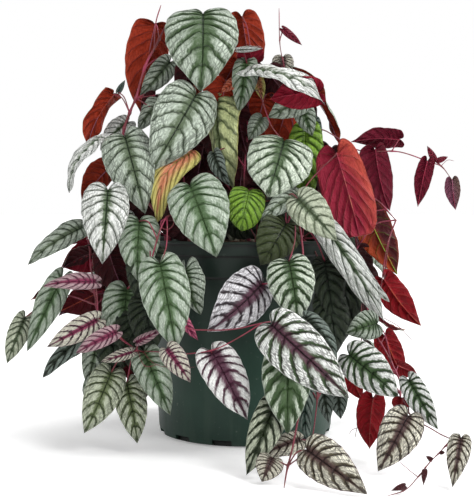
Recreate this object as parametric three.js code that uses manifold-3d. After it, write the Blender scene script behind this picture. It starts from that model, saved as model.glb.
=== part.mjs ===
// Potted rex begonia vine: a banded nursery pot full of potting mix, with climbing and trailing
// vines rooted in it. Every vine is one body: stem, leaf stalks and leaves grown together.
// Millimetres, +Z up, X to the right and Y away from the viewer.
// The origin is the middle of the pot's flat underside.

import * as THREE from 'three';
import { mergeVertices } from 'three/addons/utils/BufferGeometryUtils.js';
import Module from 'manifold-3d';

const wasm = await Module();
wasm.setup();

// Nursery pot
const POT_HEIGHT = 211;
const LIP_RADIUS = 109;
const RIM_RADIUS = 107.6;
const SECOND_BAND_RADIUS = 106;
const WALL_TOP_RADIUS = 104.4;
const BASE_RADIUS = 94;
const FLOOR_RADIUS = 86;
const LIP_DEPTH = 2.6;
const RIM_BAND_DEPTH = 14;
const SECOND_BAND_DEPTH = 36;
const FOOT_CURVE_HEIGHT = 9;
const POT_WALL = 2.4;
const POT_FLOOR = 3;
const POT_SIDES = 32;
const NOTCH_COUNT = 12;
const NOTCH_WIDTH = 21;
const NOTCH_HEIGHT = 5;
const NOTCH_DEPTH = 14;
const NOTCH_FIRST_TURN = 15;

// Potting mix and the planting holes
const MIX_EDGE_HEIGHT = 198;
const MIX_CROWN_HEIGHT = 208;
const MIX_BUMP = 1.6;
const MIX_RINGS = 2;
const FIT_GAP = 0.3;
const HOLE_FLOOR = 172;
const HOLE_TOP = 230;
const HOLE_SIDES = 6;
const FOOT_TOP = 216;
const FOOT_RADIUS = 2.4;

// Stems, stalks and leaves
const STEM_SIDES = 4;
const STALK_WIDTH = 1.9;
const STALK_THICKNESS = 1.6;
const STALK_RISE = 0.22;
const STALK_FALL = 15;
const STRAIGHT_STALK = 24;
const STEM_STEPS = 1.6;
const THIN_STEM = 1.2;
const THIN_STEM_SIDES = 3;
const BLADE_THICKNESS = 0.8;
const MARGIN_WAVE = 0.022;
const LEAF_SHAPE = 0.62;
const HIDDEN_ARCH = 0.1;
const HIDDEN_FOLD = 0.12;

// Where the viewer of the picture stands: the plant was drawn from a picture 474 wide and 500 high.
const EYE_DISTANCE = 1300;
const EYE_HEIGHT = 258;
const PIXEL_FOCUS = 1182;
const AXIS_COLUMN = 245;
const HORIZON_ROW = 195.5;

// Solids smaller than this are crumbs left by a join, in cubic millimetres.
const CRUMB = 1;
const WELD = 1e-3;

// One half of a leaf, from the notch round the lobe to the tip:
// where its side vein leaves the midrib, then the margin point sideways and along.
const LEAF_STATIONS = [
  [0, 0, 0],
  [0.05, 0.62, -0.1],
  [0.16, 1, 0.15],
  [0.36, 0.9, 0.48],
  [0.62, 0.46, 0.8],
  [1, 0, 1],
];

// Vines seen in the picture. Points are [column, row, depth], the depth in mm beyond the pot's axis.
// A stem is [radius, points]. A leaf is [name, base, tip, width in pixels, roll in degrees,
// arch, fold, points that its stalk passes].
const SEEN_VINES = [
  {
    name: 'vine_crown_left',
    foot: [-66, -22],
    stems: [
      [1.8, [[150, 205, -18], [132, 165, -12], [123, 137, -5], [130, 112, 0], [136, 98, 3],
        [141, 80, 6], [147, 62, 8], [155, 47, 10], [166, 25, 14]]],
      [0.9, [[154, 49, 10], [156, 22, 10], [161, 5, 10]]],
    ],
    leaves: [
      ['L1', [203, 14, 10], [203, 92, -25], 74, 0, 0.1, -0.1],
      ['L2', [155, 24, 30], [139, 112, 20], 44, 170, 0.08, 0.15],
      ['L3', [113, 94, 10], [87, 150, 0], 34, 125, 0.1, 0.1],
      ['L4', [103, 138, -16], [68, 192, -34], 40, 70, 0.12, 0.1],
      ['L4b', [112, 165, 15], [81, 203, 15], 32, 150, 0.1, 0.1],
      ['L5', [128, 122, 20], [100, 150, 16], 24, 20, 0.1, 0.1],
      ['L6', [125, 137, -45], [146, 214, -75], 52, 0, 0.1, -0.1],
      ['L7', [170, 62, 20], [141, 97, 14], 24, 0, 0.1, 0.1],
      ['L9', [163, 100, 8], [137, 130, 2], 24, 20, 0.1, 0.1],
      ['L10', [196, 95, -30], [152, 172, -65], 62, 0, 0.1, -0.1],
      ['L11', [196, 156, -58], [158, 216, -76], 24, 30, 0.1, 0.2],
    ],
  },
  {
    name: 'vine_top',
    foot: [4, -14],
    stems: [
      [1.6, [[244, 190, -10], [247, 130, -2], [249, 90, 2], [250, 62, 5], [251, 52, 6]]],
    ],
    leaves: [
      ['L12', [190, 186, -95], [218, 257, -125], 60, 0, 0.08, -0.1],
      ['L14', [217, 95, -2], [232, 184, -42], 26, 45, 0.1, 0.4],
      ['L15', [246, 62, -5], [240, 113, -15], 26, 0, 0.1, 0.1],
      ['L16', [251, 63, 15], [236, 11, 25], 30, 170, 0.05, 0.15],
      ['L17', [252, 62, 2], [249, 46, -38], 28, 180, 0.1, 0.1],
      ['L21a', [250, 72, -22], [327, 103, -58], 46, -75, 0.1, 0.5],
      ['L25', [284, 141, -60], [268, 197, -100], 66, 0, 0.1, -0.1,
        [[257, 90, -20], [272, 127, -52]]],
    ],
  },
  {
    name: 'vine_arch_right',
    foot: [48, 4],
    stems: [
      [1.5, [[290, 190, 4], [293, 130, 4], [288, 90, 4], [283, 60, 3]]],
      [0.9, [[283, 62, 3], [280, 45, 3], [279, 8, 3]]],
    ],
    leaves: [
      ['L20a', [283, 29, 3], [302, 45, 3], 8, 0, 0.1, 0],
      ['L20b', [283, 57, 10], [284, 80, 10], 22, 0, 0.1, 0],
      ['L21b', [290, 72, 20], [338, 143, 10], 36, -110, 0.1, 0.2],
      ['L22', [283, 100, -20], [311, 131, -30], 30, -40, 0.1, 0.1],
      ['L22b', [300, 118, -5], [275, 136, -5], 24, 165, 0.1, 0.1],
      ['L24', [300, 130, -20], [318, 196, -40], 30, 10, 0.1, 0.1],
    ],
  },
  {
    name: 'vine_right_branch',
    colour: 0x7a1a30,
    foot: [72, 10],
    stems: [
      [1.3, [[318, 190, 8], [318, 155, 0], [320, 130, -10], [338, 138, -16], [358, 150, -20],
        [400, 152, -25], [432, 163, -28], [441, 166, -28], [452, 180, -28]]],
    ],
    leaves: [
      ['L78a', [399, 144, -25], [352, 143, -20], 24, 150, 0.1, 0.1],
      ['L78b', [372, 152, -25], [388, 212, -35], 30, 160, 0.1, 0.2],
      ['L78c', [427, 162, -30], [418, 207, -35], 18, 170, 0.1, 0.1],
      ['L78e', [452, 180, -28], [455, 210, -30], 16, 170, 0.1, 0.1],
    ],
  },
  {
    name: 'vine_right_middle',
    foot: [60, -58],
    stems: [
      [1.6, [[305, 215, -66], [308, 200, -68], [325, 202, -66], [350, 205, -58], [372, 198, -50],
        [396, 220, -48]]],
    ],
    leaves: [
      ['L28', [331, 157, -50], [358, 237, -85], 58, 180, 0.08, 0.25,
        [[305, 190, -66], [318, 172, -56]]],
      ['L30', [328, 228, -100], [380, 325, -122], 40, -25, 0.1, -0.1],
      ['L31', [367, 212, -40], [399, 274, -60], 40, 160, 0.1, 0.1],
      ['L33', [384, 280, -60], [420, 327, -80], 30, 165, 0.1, 0.1],
    ],
  },
  {
    name: 'vine_inner',
    foot: [12, -62],
    stems: [
      [1.4, [[258, 218, -74], [262, 203, -80], [285, 200, -88]]],
    ],
    leaves: [
      ['L26', [249, 191, -95], [240, 231, -108], 38, 0, 0.1, -0.1],
      ['L27', [300, 195, -90], [260, 221, -105], 26, 30, 0.1, 0.1],
      ['L29', [298, 199, -112], [338, 240, -130], 38, 0, 0.1, 0.1],
      ['L73', [282, 228, -108], [264, 265, -122], 38, 0, 0.1, 0.1],
      ['L75', [325, 262, -94], [334, 322, -106], 34, 0, 0.1, 0.1, [[302, 222, -98], [316, 240, -100]]],
    ],
  },
  {
    name: 'vine_front_right',
    foot: [38, -82],
    stems: [
      [1.9, [[288, 222, -88], [292, 213, -94], [299, 224, -106], [302, 242, -120],
        [303, 256, -126], [298, 290, -140], [282, 318, -160], [262, 323, -168]]],
      [1.6, [[282, 318, -160], [290, 345, -172], [300, 380, -190], [300, 405, -205],
        [296, 430, -218], [292, 450, -232], [287, 470, -246], [284, 488, -266]]],
      [1.1, [[300, 372, -186], [312, 378, -176], [317, 390, -172], [315, 420, -182],
        [312, 440, -192]]],
      [1.1, [[262, 323, -168], [243, 335, -171], [225, 345, -172], [213, 350, -170],
        [183, 354, -160], [160, 352, -145], [144, 351, -132]]],
      [1.1, [[262, 323, -168], [235, 329, -166], [205, 330, -160], [188, 328, -152],
        [181, 318, -146]]],
    ],
    leaves: [
      ['L44', [289, 262, -140], [300, 322, -165], 48, 0, 0.1, -0.1,
        [[293, 215, -94], [295, 240, -124]]],
      ['L45', [272, 325, -200], [350, 397, -215], 58, 0, 0.1, -0.1],
      ['L45b', [305, 318, -178], [338, 362, -188], 26, -30, 0.1, 0.1],
      ['L46', [290, 350, -180], [285, 434, -195], 50, 0, 0.1, -0.1],
      ['L47', [262, 285, -135], [205, 333, -150], 42, 0, 0.1, -0.1],
      ['L48', [216, 355, -165], [245, 421, -180], 40, -15, 0.1, 0.1],
      ['L49', [167, 349, -165], [191, 382, -175], 24, 0, 0.1, 0.1],
      ['L76a', [276, 402, -215], [246, 475, -235], 34, 0, 0.1, 0.1],
      ['L76b', [272, 458, -238], [262, 482, -248], 28, 0, 0.1, 0.1],
      ['L76c', [300, 440, -205], [258, 458, -212], 24, 20, 0.1, 0.1],
      ['L76f', [307, 450, -250], [368, 494, -288], 44, 0, 0.1, -0.1],
      ['L76h', [322, 385, -150], [329, 423, -160], 18, 0, 0.1, 0.1],
      ['L76j', [338, 385, -136], [340, 419, -140], 20, 0, 0.1, 0.1],
    ],
  },
  {
    name: 'vine_right_trail',
    foot: [78, -38],
    stems: [
      [1.6, [[322, 230, -42], [332, 227, -48], [345, 238, -58], [355, 262, -68],
        [365, 300, -84], [375, 333, -100], [385, 350, -118], [395, 370, -140], [400, 382, -150],
        [401, 400, -170], [408, 412, -184], [418, 422, -194]]],
      [1.2, [[418, 422, -194], [430, 428, -204], [440, 434, -212], [451, 439, -222]]],
      [0.9, [[451, 439, -222], [440, 452, -232], [430, 462, -242], [418, 477, -256],
        [405, 490, -278], [387, 496, -294]]],
    ],
    leaves: [
      ['L34', [385, 336, -105], [404, 380, -120], 28, 165, 0.1, 0.1],
      ['L35', [349, 355, -170], [400, 396, -190], 42, 0, 0.1, -0.1],
      ['L35b', [372, 330, -150], [349, 325, -155], 24, 60, 0.1, 0.1],
      ['L37', [404, 382, -190], [438, 428, -200], 28, 0, 0.1, 0.1],
      ['L38', [352, 375, -140], [362, 400, -145], 20, 160, 0.1, 0.1],
      ['L39', [353, 400, -150], [369, 450, -165], 30, 165, 0.1, 0.1],
      ['L41', [408, 416, -205], [379, 472, -215], 42, 0, 0.1, 0.1],
      ['L43', [461, 438, -240], [453, 487, -268], 24, 0, 0.1, 0.1],
    ],
  },
  {
    name: 'vine_front_left',
    foot: [-58, -62],
    stems: [
      [1.4, [[184, 226, -74], [174, 216, -88], [167, 217, -100], [161, 228, -108],
        [152, 258, -116], [145, 290, -114]]],
    ],
    leaves: [
      ['L50', [160, 264, -135], [177, 350, -155], 50, 0, 0.1, -0.1,
        [[167, 219, -102], [166, 248, -128]]],
      ['L51', [187, 268, -122], [202, 313, -128], 24, -25, 0.1, 0.1],
      ['L52', [139, 221, -86], [136, 282, -108], 42, 0, 0.1, -0.1],
      ['L64', [127, 289, -94], [122, 352, -100], 45, 0, 0.1, -0.1],
    ],
  },
  {
    name: 'vine_left_trail',
    foot: [-85, -25],
    stems: [
      [1.6, [[155, 228, -30], [130, 222, -36], [105, 230, -52], [91, 248, -62], [92, 275, -72],
        [95, 295, -80], [97, 310, -94], [101, 322, -106], [117, 336, -117], [137, 350, -127]]],
    ],
    leaves: [
      ['L53', [108, 190, -96], [102, 264, -120], 48, 0, 0.1, -0.1],
      ['L54', [82, 228, -70], [28, 265, -80], 26, 30, 0.1, 0.1],
      ['L55', [95, 252, -60], [62, 268, -62], 24, 140, 0.1, 0.1],
      ['L56', [95, 282, -110], [43, 286, -115], 18, 20, 0.1, 0.1],
      ['L57', [60, 290, -76], [31, 300, -78], 14, 150, 0.1, 0.1],
      ['L58', [62, 278, -85], [29, 352, -100], 28, 10, 0.1, 0.1],
      ['L59', [104, 292, -60], [58, 315, -60], 28, 150, 0.1, 0.1],
      ['L60', [25, 318, -80], [6, 363, -82], 22, 0, 0.1, 0.1],
      ['L61', [97, 320, -125], [47, 347, -130], 24, 0, 0.1, 0.1],
      ['L62', [92, 330, -105], [42, 377, -110], 22, 20, 0.1, 0.1],
      ['L63', [116, 332, -140], [75, 352, -142], 18, 0, 0.1, 0.1],
      ['L65', [98, 340, -100], [87, 388, -105], 24, 0, 0.1, 0.1],
      ['L66', [111, 373, -115], [86, 434, -125], 38, 0, 0.1, -0.1],
      ['L67', [127, 383, -110], [139, 443, -120], 32, 0, 0.1, 0.1],
      ['L68', [130, 358, -105], [130, 382, -108], 16, 160, 0.1, 0.1],
      ['L69', [144, 352, -120], [171, 415, -130], 34, 0, 0.1, -0.1],
      ['L70a', [132, 352, -130], [101, 362, -132], 12, 0, 0.1, 0.1],
      ['L70b', [137, 342, -130], [165, 328, -138], 10, 0, 0.1, 0.1],
    ],
  },
  {
    name: 'vine_crown_inside_left',
    colour: 0x6b1a22,
    foot: [-45, 20],
    stems: [
      [1.5, [[190, 205, 24], [181, 150, 28], [186, 112, 30]]],
    ],
    leaves: [
      ['I1', [222, 104, 14], [212, 160, 4], 42, 180, 0.1, 0.1],
      ['I6', [205, 140, 28], [192, 206, 22], 46, 175, 0.1, 0.1],
      ['I8', [176, 100, 32], [166, 158, 28], 42, 180, 0.1, 0.1],
      ['I9', [166, 150, 24], [152, 212, 18], 46, 185, 0.1, 0.1],
      ['I10', [216, 178, -16], [210, 228, -22], 42, 180, 0.1, 0.1],
      ['I12', [150, 190, 8], [140, 238, 4], 40, 180, 0.1, 0.1],
    ],
  },
  {
    name: 'vine_crown_inside_right',
    colour: 0x6b1a22,
    foot: [15, 28],
    stems: [
      [1.5, [[262, 205, 28], [268, 150, 30], [270, 104, 30]]],
    ],
    leaves: [
      ['I2', [258, 84, 22], [256, 150, 16], 44, 180, 0.1, 0.1],
      ['I3', [298, 102, 34], [292, 158, 28], 44, 180, 0.1, 0.1],
      ['I4', [244, 140, 4], [240, 196, -4], 42, 180, 0.1, 0.1],
      ['I5', [282, 150, 20], [290, 206, 16], 46, 180, 0.1, 0.1],
      ['I7', [312, 150, 26], [326, 210, 22], 42, 180, 0.1, 0.1],
      ['I11', [262, 186, -2], [268, 228, -8], 42, 180, 0.1, 0.1],
    ],
  },
];

// Vines hidden behind the others. A stem is [radius, points in mm]; a leaf is [place along the
// stem, turn from the vine's bearing in degrees, stalk reach, length, droop in degrees].
const HIDDEN_VINES = [
  {
    name: 'vine_side_left',
    bearing: 170,
    foot: [-84, 14],
    stems: [[1.6, [[-98, 18, 236], [-118, 22, 238], [-134, 26, 215], [-142, 30, 170],
      [-146, 34, 120], [-148, 36, 78]]]],
    leaves: [
      [0.3, 60, 14, 74, 60],
      [0.42, -50, 16, 72, 60],
      [0.56, 75, 18, 72, 65],
      [0.76, -55, 16, 66, 65],
      [1, 20, 10, 60, 68],
    ],
  },
  {
    name: 'vine_side_right',
    bearing: 15,
    foot: [84, 22],
    stems: [[1.6, [[98, 26, 236], [114, 30, 236], [124, 34, 212], [130, 38, 170],
      [132, 40, 125], [132, 42, 85]]]],
    leaves: [
      [0.3, 60, 14, 70, 60],
      [0.44, -50, 14, 66, 62],
      [0.64, 65, 16, 68, 65],
      [1, 0, 10, 60, 68],
    ],
  },
  {
    name: 'vine_back_left',
    bearing: 132,
    foot: [-54, 62],
    stems: [[1.6, [[-62, 72, 236], [-76, 86, 240], [-88, 98, 218], [-93, 104, 170],
      [-96, 106, 115], [-98, 108, 60]]]],
    leaves: [
      [0.28, 55, 14, 78, 58],
      [0.4, -50, 14, 74, 60],
      [0.56, 60, 16, 76, 64],
      [0.74, -50, 16, 70, 66],
      [1, 0, 10, 60, 68],
    ],
  },
  {
    name: 'vine_back',
    bearing: 92,
    foot: [-4, 82],
    stems: [[1.6, [[-4, 94, 238], [-5, 112, 241], [-6, 128, 218], [-8, 135, 165],
      [-8, 138, 110], [-6, 142, 50]]]],
    leaves: [
      [0.28, 55, 14, 78, 55],
      [0.4, -50, 14, 76, 58],
      [0.56, 60, 16, 78, 62],
      [0.74, -50, 16, 72, 64],
      [1, 0, 10, 60, 62],
    ],
  },
  {
    name: 'vine_back_right',
    bearing: 55,
    foot: [48, 66],
    stems: [[1.6, [[56, 78, 236], [68, 92, 240], [78, 106, 218], [82, 112, 170],
      [84, 114, 120], [84, 116, 70]]]],
    leaves: [
      [0.28, 50, 14, 76, 58],
      [0.42, -45, 14, 72, 60],
      [0.62, 50, 16, 72, 64],
      [1, 0, 10, 62, 68],
    ],
  },
  {
    name: 'vine_crown_back',
    bearing: 95,
    foot: [-14, 58],
    stems: [[1.6, [[-16, 62, 260], [-18, 66, 310], [-16, 66, 350], [-14, 66, 375]]]],
    leaves: [
      [0.4, 70, 22, 80, 44],
      [0.56, -50, 20, 80, 44],
      [0.72, 60, 20, 74, 42],
      [0.94, -20, 16, 66, 34],
    ],
  },
];

const FINISH = {
  pot: { colour: 0x24392f, roughness: 0.6 },
  potting_mix: { colour: 0x3a2a1e, roughness: 1 },
  vine: { colour: 0x7d9a83, roughness: 0.5 },
};

const UP = new THREE.Vector3(0, 0, 1);

function radians(degrees) {
  return THREE.MathUtils.degToRad(degrees);
}

function millimetres(point) {
  return new THREE.Vector3(...point);
}

// The place that a picture point shows at a given depth beyond the pot's axis.
function seen([column, row, depth]) {
  const spread = (EYE_DISTANCE + depth) / PIXEL_FOCUS;
  const across = (column - AXIS_COLUMN) * spread;
  return new THREE.Vector3(across, depth, EYE_HEIGHT - (row - HORIZON_ROW) * spread);
}

// Joined corners and flat scraps dropped, faces turned outwards, ready to be cut or fused.
function solidFrom(geometry) {
  const bare = new THREE.BufferGeometry();
  bare.setAttribute('position', geometry.getAttribute('position'));
  bare.setIndex(geometry.getIndex());
  const joined = mergeVertices(bare, WELD);
  const places = joined.getAttribute('position');
  const index = joined.getIndex().array;
  const corners = [new THREE.Vector3(), new THREE.Vector3(), new THREE.Vector3()];
  const kept = [];
  let volume = 0;
  for (let first = 0; first < index.length; first += 3) {
    const [a, b, c] = index.slice(first, first + 3);
    if (a !== b && b !== c && c !== a) {
      [a, b, c].forEach((vertex, turn) => corners[turn].fromBufferAttribute(places, vertex));
      volume += corners[0].dot(corners[1].clone().cross(corners[2]));
      kept.push([a, b, c]);
    }
  }
  const turned = volume < 0 ? kept.map(([a, b, c]) => [a, c, b]) : kept;
  return new wasm.Manifold(new wasm.Mesh({
    numProp: 3,
    vertProperties: new Float32Array(places.array),
    triVerts: new Uint32Array(turned.flat()),
  }));
}

function fused(solids) {
  return solids.reduce((whole, next) => whole.add(next));
}

// The one body in a joined solid: hollows inside it are filled and crumbs beside it dropped.
function oneBody(solid, name) {
  const mesh = solid.getMesh();
  const places = mesh.vertProperties;
  const corners = mesh.triVerts;
  const parent = Array.from({ length: places.length / 3 }, (_, vertex) => vertex);
  const rootOf = (vertex) => {
    let root = vertex;
    while (parent[root] !== root) {
      parent[root] = parent[parent[root]];
      root = parent[root];
    }
    return root;
  };
  for (let first = 0; first < corners.length; first += 3) {
    parent[rootOf(corners[first])] = rootOf(corners[first + 1]);
    parent[rootOf(corners[first + 1])] = rootOf(corners[first + 2]);
  }
  const shells = new Map();
  const at = (vertex) => new THREE.Vector3(...places.slice(3 * vertex, 3 * vertex + 3));
  for (let first = 0; first < corners.length; first += 3) {
    const triangle = [corners[first], corners[first + 1], corners[first + 2]];
    const root = rootOf(triangle[0]);
    const shell = shells.get(root) ?? { volume: 0, triangles: [] };
    const [a, b, c] = triangle.map(at);
    shell.volume += a.dot(b.cross(c)) / 6;
    shell.triangles.push(...triangle);
    shells.set(root, shell);
  }
  const bodies = [...shells.values()].sort((one, other) => other.volume - one.volume);
  const loose = bodies.slice(1).filter((shell) => shell.volume > CRUMB);
  if (loose.length > 0) {
    throw new Error(`${name} has ${loose.length} loose pieces`);
  }
  const body = new THREE.BufferGeometry();
  body.setAttribute('position', new THREE.BufferAttribute(places, 3));
  body.setIndex(bodies[0].triangles);
  return body;
}

function ring(radius, sides) {
  const corners = [];
  for (let side = 0; side < sides; side += 1) {
    const turn = (2 * Math.PI * side) / sides;
    corners.push(new THREE.Vector2(radius * Math.cos(turn), radius * Math.sin(turn)));
  }
  return new THREE.Shape(corners);
}

function tube(path, radius, sides, steps) {
  const geometry = new THREE.ExtrudeGeometry(ring(radius, sides), { steps, extrudePath: path });
  return solidFrom(geometry);
}

function upright([x, y], bottom, top, radius, sides) {
  const path = new THREE.LineCurve3(
    new THREE.Vector3(x, y, bottom),
    new THREE.Vector3(x, y, top),
  );
  return tube(path, radius, sides, 1);
}

function turnedSolid(profile, sides) {
  const closed = [...profile, profile[0]].map(([radius, height]) => (
    new THREE.Vector2(radius, height)
  ));
  const lathe = new THREE.LatheGeometry(closed, sides);
  lathe.rotateX(Math.PI / 2);
  return lathe;
}

function makePot() {
  const bandStep = RIM_RADIUS - SECOND_BAND_RADIUS;
  const inner = POT_HEIGHT - SECOND_BAND_DEPTH;
  const profile = [
    [0, 0],
    [FLOOR_RADIUS, 0],
    [BASE_RADIUS - 1.6, 2],
    [BASE_RADIUS, FOOT_CURVE_HEIGHT],
    [WALL_TOP_RADIUS, inner - bandStep],
    [SECOND_BAND_RADIUS, inner],
    [SECOND_BAND_RADIUS, POT_HEIGHT - RIM_BAND_DEPTH - bandStep],
    [RIM_RADIUS, POT_HEIGHT - RIM_BAND_DEPTH],
    [RIM_RADIUS, POT_HEIGHT - LIP_DEPTH],
    [LIP_RADIUS, POT_HEIGHT - LIP_DEPTH + 1],
    [LIP_RADIUS, POT_HEIGHT],
    [RIM_RADIUS - POT_WALL, POT_HEIGHT],
    [WALL_TOP_RADIUS - POT_WALL, inner - bandStep],
    [BASE_RADIUS - POT_WALL, FOOT_CURVE_HEIGHT],
    [FLOOR_RADIUS, POT_FLOOR],
    [0, POT_FLOOR],
  ];
  let pot = solidFrom(turnedSolid(profile, POT_SIDES));
  for (let notch = 0; notch < NOTCH_COUNT; notch += 1) {
    const box = new THREE.BoxGeometry(NOTCH_WIDTH, NOTCH_DEPTH, 2 * NOTCH_HEIGHT);
    box.translate(0, BASE_RADIUS, 0);
    box.rotateZ(radians(NOTCH_FIRST_TURN + (360 * notch) / NOTCH_COUNT));
    pot = pot.subtract(solidFrom(box));
  }
  return pot;
}

// Height of the potting mix: a low mound with small bumps.
function mixHeight(radius, turn) {
  const mound = Math.cos((Math.PI / 2) * Math.min(1, radius / RIM_RADIUS));
  const bumps = Math.sin(3 * turn + radius / 9) * Math.cos(5 * turn - radius / 14);
  const level = MIX_EDGE_HEIGHT + (MIX_CROWN_HEIGHT - MIX_EDGE_HEIGHT) * mound;
  return level + MIX_BUMP * bumps * Math.min(1, radius / 30);
}

function makeMix(vines) {
  const inner = POT_HEIGHT - SECOND_BAND_DEPTH;
  const slope = (RIM_RADIUS - WALL_TOP_RADIUS) / (SECOND_BAND_DEPTH + RIM_RADIUS - SECOND_BAND_RADIUS);
  const edge = WALL_TOP_RADIUS - POT_WALL - FIT_GAP + slope * (MIX_EDGE_HEIGHT - inner);
  const profile = [
    [0, POT_FLOOR],
    [FLOOR_RADIUS - FIT_GAP, POT_FLOOR],
    [BASE_RADIUS - POT_WALL - FIT_GAP - 0.2, FOOT_CURVE_HEIGHT],
    [WALL_TOP_RADIUS - POT_WALL - FIT_GAP, inner],
  ];
  for (let step = MIX_RINGS; step >= 0; step -= 1) {
    profile.push([(edge * step) / MIX_RINGS, MIX_EDGE_HEIGHT]);
  }
  const lathe = turnedSolid(profile, POT_SIDES);
  const places = lathe.getAttribute('position');
  const place = new THREE.Vector3();
  for (let vertex = 0; vertex < places.count; vertex += 1) {
    place.fromBufferAttribute(places, vertex);
    if (Math.abs(place.z) > inner + 1) {
      const radius = Math.hypot(place.x, place.y);
      places.setZ(vertex, mixHeight(radius, radius < 1 ? 0 : Math.atan2(place.y, place.x)));
    }
  }
  const holes = vines.map(({ foot }) => {
    const radius = (FOOT_RADIUS + FIT_GAP) / Math.cos(Math.PI / HOLE_SIDES);
    return upright(foot, HOLE_FLOOR, HOLE_TOP, radius, HOLE_SIDES);
  });
  return solidFrom(lathe).subtract(fused(holes));
}

// A leaf and its stalk. The blade is a net of triangles over a curved middle surface; the stalk is
// a narrow strip that runs on from the notch along the given route, and ends inside the stem.
function leafSolid({ base, tip, toward, width, roll, arch, fold, route }) {
  const along = tip.clone().sub(base);
  const length = along.length();
  along.normalize();
  const facing = toward.clone().addScaledVector(along, -toward.dot(along)).normalize();
  const side = along.clone().cross(facing);
  const upper = facing.clone().multiplyScalar(Math.cos(roll)).addScaledVector(side, Math.sin(roll));
  const across = side.clone().multiplyScalar(Math.cos(roll)).addScaledVector(facing, -Math.sin(roll));
  const middle = [];
  const net = [];
  const lift = (reach) => 4 * arch * length * reach * (1 - reach);
  const place = (sideways, reach, rise) => middle.push(base.clone()
    .addScaledVector(across, sideways)
    .addScaledVector(along, reach * length)
    .addScaledVector(upper, rise)) - 1;
  const last = LEAF_STATIONS.length - 1;
  const ribs = LEAF_STATIONS.slice(1).map(([rib]) => place(0, rib, lift(rib)));
  const notch = [-1, 1].map((hand) => {
    const start = place((hand * STALK_WIDTH) / 2, 0, 0);
    const edges = LEAF_STATIONS.slice(1, last).map(([, sideways, reach], station) => {
      const out = (sideways * width) / 2;
      const wave = station % 2 === 0 ? -MARGIN_WAVE : MARGIN_WAVE;
      return place(hand * out, reach, lift(reach) + fold * out + hand * wave * length);
    });
    const inside = [start, ...ribs];
    const outside = [start, ...edges, ribs[last - 1]];
    for (let station = 0; station < last; station += 1) {
      const [a, b] = [inside[station], inside[station + 1]];
      const [d, c] = [outside[station], outside[station + 1]];
      const pair = [[a, b, c], [a, c, d]].filter((triangle) => new Set(triangle).size === 3);
      net.push(...pair.map((triangle) => (hand > 0 ? triangle : triangle.reverse())));
    }
    return start;
  });
  net.push([notch[0], ribs[0], notch[1]]);
  const blades = middle.length;
  let pair = notch;
  let heading = along.clone().negate();
  let lateral = across.clone();
  route.forEach((point, step) => {
    const next = point.clone().sub(step === 0 ? base : route[step - 1]).normalize();
    lateral = lateral.applyQuaternion(new THREE.Quaternion().setFromUnitVectors(heading, next));
    heading = next;
    const rails = [-1, 1].map((hand) => (
      middle.push(point.clone().addScaledVector(lateral, (hand * STALK_WIDTH) / 2)) - 1
    ));
    net.push([pair[0], pair[1], rails[1]], [pair[0], rails[1], rails[0]]);
    pair = rails;
  });
  const thickness = middle.map((_, vertex) => (vertex < blades ? BLADE_THICKNESS : STALK_THICKNESS));
  return thickened(middle, net, thickness);
}

// A sheet given thickness: the same triangles on both faces and a narrow wall round the edge.
function thickened(middle, net, thickness) {
  const normals = middle.map(() => new THREE.Vector3());
  for (const [a, b, c] of net) {
    const one = middle[b].clone().sub(middle[a]);
    const normal = one.cross(middle[c].clone().sub(middle[a]));
    [a, b, c].forEach((vertex) => normals[vertex].add(normal));
  }
  normals.forEach((normal, vertex) => normal.normalize().multiplyScalar(thickness[vertex] / 2));
  const count = middle.length;
  const places = [
    ...middle.map((point, vertex) => point.clone().add(normals[vertex])),
    ...middle.map((point, vertex) => point.clone().sub(normals[vertex])),
  ];
  const index = [];
  const edges = new Map();
  for (const [a, b, c] of net) {
    index.push(a, b, c, c + count, b + count, a + count);
    [[a, b], [b, c], [c, a]].forEach((edge) => edges.set(edge.join(), edge));
  }
  for (const [a, b] of edges.values()) {
    if (!edges.has([b, a].join())) {
      index.push(b, a, a + count, b, a + count, b + count);
    }
  }
  const geometry = new THREE.BufferGeometry();
  const numbers = places.flatMap((point) => point.toArray());
  geometry.setAttribute('position', new THREE.Float32BufferAttribute(numbers, 3));
  geometry.setIndex(index);
  return solidFrom(geometry);
}

function nearest(points, target) {
  return points.reduce((best, point) => (
    point.distanceTo(target) < best.distanceTo(target) ? point : best
  ));
}

// The route of a stalk from the blade back to the stem: a short one is straight, a long one arches.
function stalkRoute(base, node) {
  if (node.distanceTo(base) < STRAIGHT_STALK) {
    return [node];
  }
  const bend = base.clone().lerp(node, 0.5);
  bend.addScaledVector(UP, STALK_RISE * node.distanceTo(base));
  return [bend, node];
}

function stemPath(points) {
  return new THREE.CatmullRomCurve3(points, false, 'centripetal');
}

// Stems of one vine: the first starts on top of its foot in the potting mix.
function growStems({ foot, stems }, placed) {
  const top = new THREE.Vector3(foot[0], foot[1], FOOT_TOP - 3);
  return stems.map(([radius, points], order) => {
    const route = points.map(placed);
    const path = stemPath(order === 0 ? [top, ...route] : route);
    const steps = Math.ceil(STEM_STEPS * points.length);
    const sides = radius < THIN_STEM ? THIN_STEM_SIDES : STEM_SIDES;
    return { joints: path.getSpacedPoints(steps), solid: tube(path, radius, sides, steps) };
  });
}

function seenLeaf(row, joints) {
  const [name, start, end, columns, degrees, arch, fold, passed = []] = row;
  const base = seen(start);
  const tip = seen(end);
  const halfway = base.clone().lerp(tip, 0.5);
  const toward = new THREE.Vector3(0, -EYE_DISTANCE, EYE_HEIGHT).sub(halfway);
  const width = (columns * (EYE_DISTANCE + halfway.y)) / PIXEL_FOCUS;
  const waypoints = passed.map(seen);
  const target = waypoints[0] ?? base.clone().addScaledVector(UP, -STALK_FALL);
  const node = nearest(joints.flat(), target);
  const route = passed.length > 0 ? [...waypoints.reverse(), node] : stalkRoute(base, node);
  const roll = radians(degrees);
  return { name, parts: [leafSolid({ base, tip, toward, width, roll, arch, fold, route })] };
}

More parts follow.
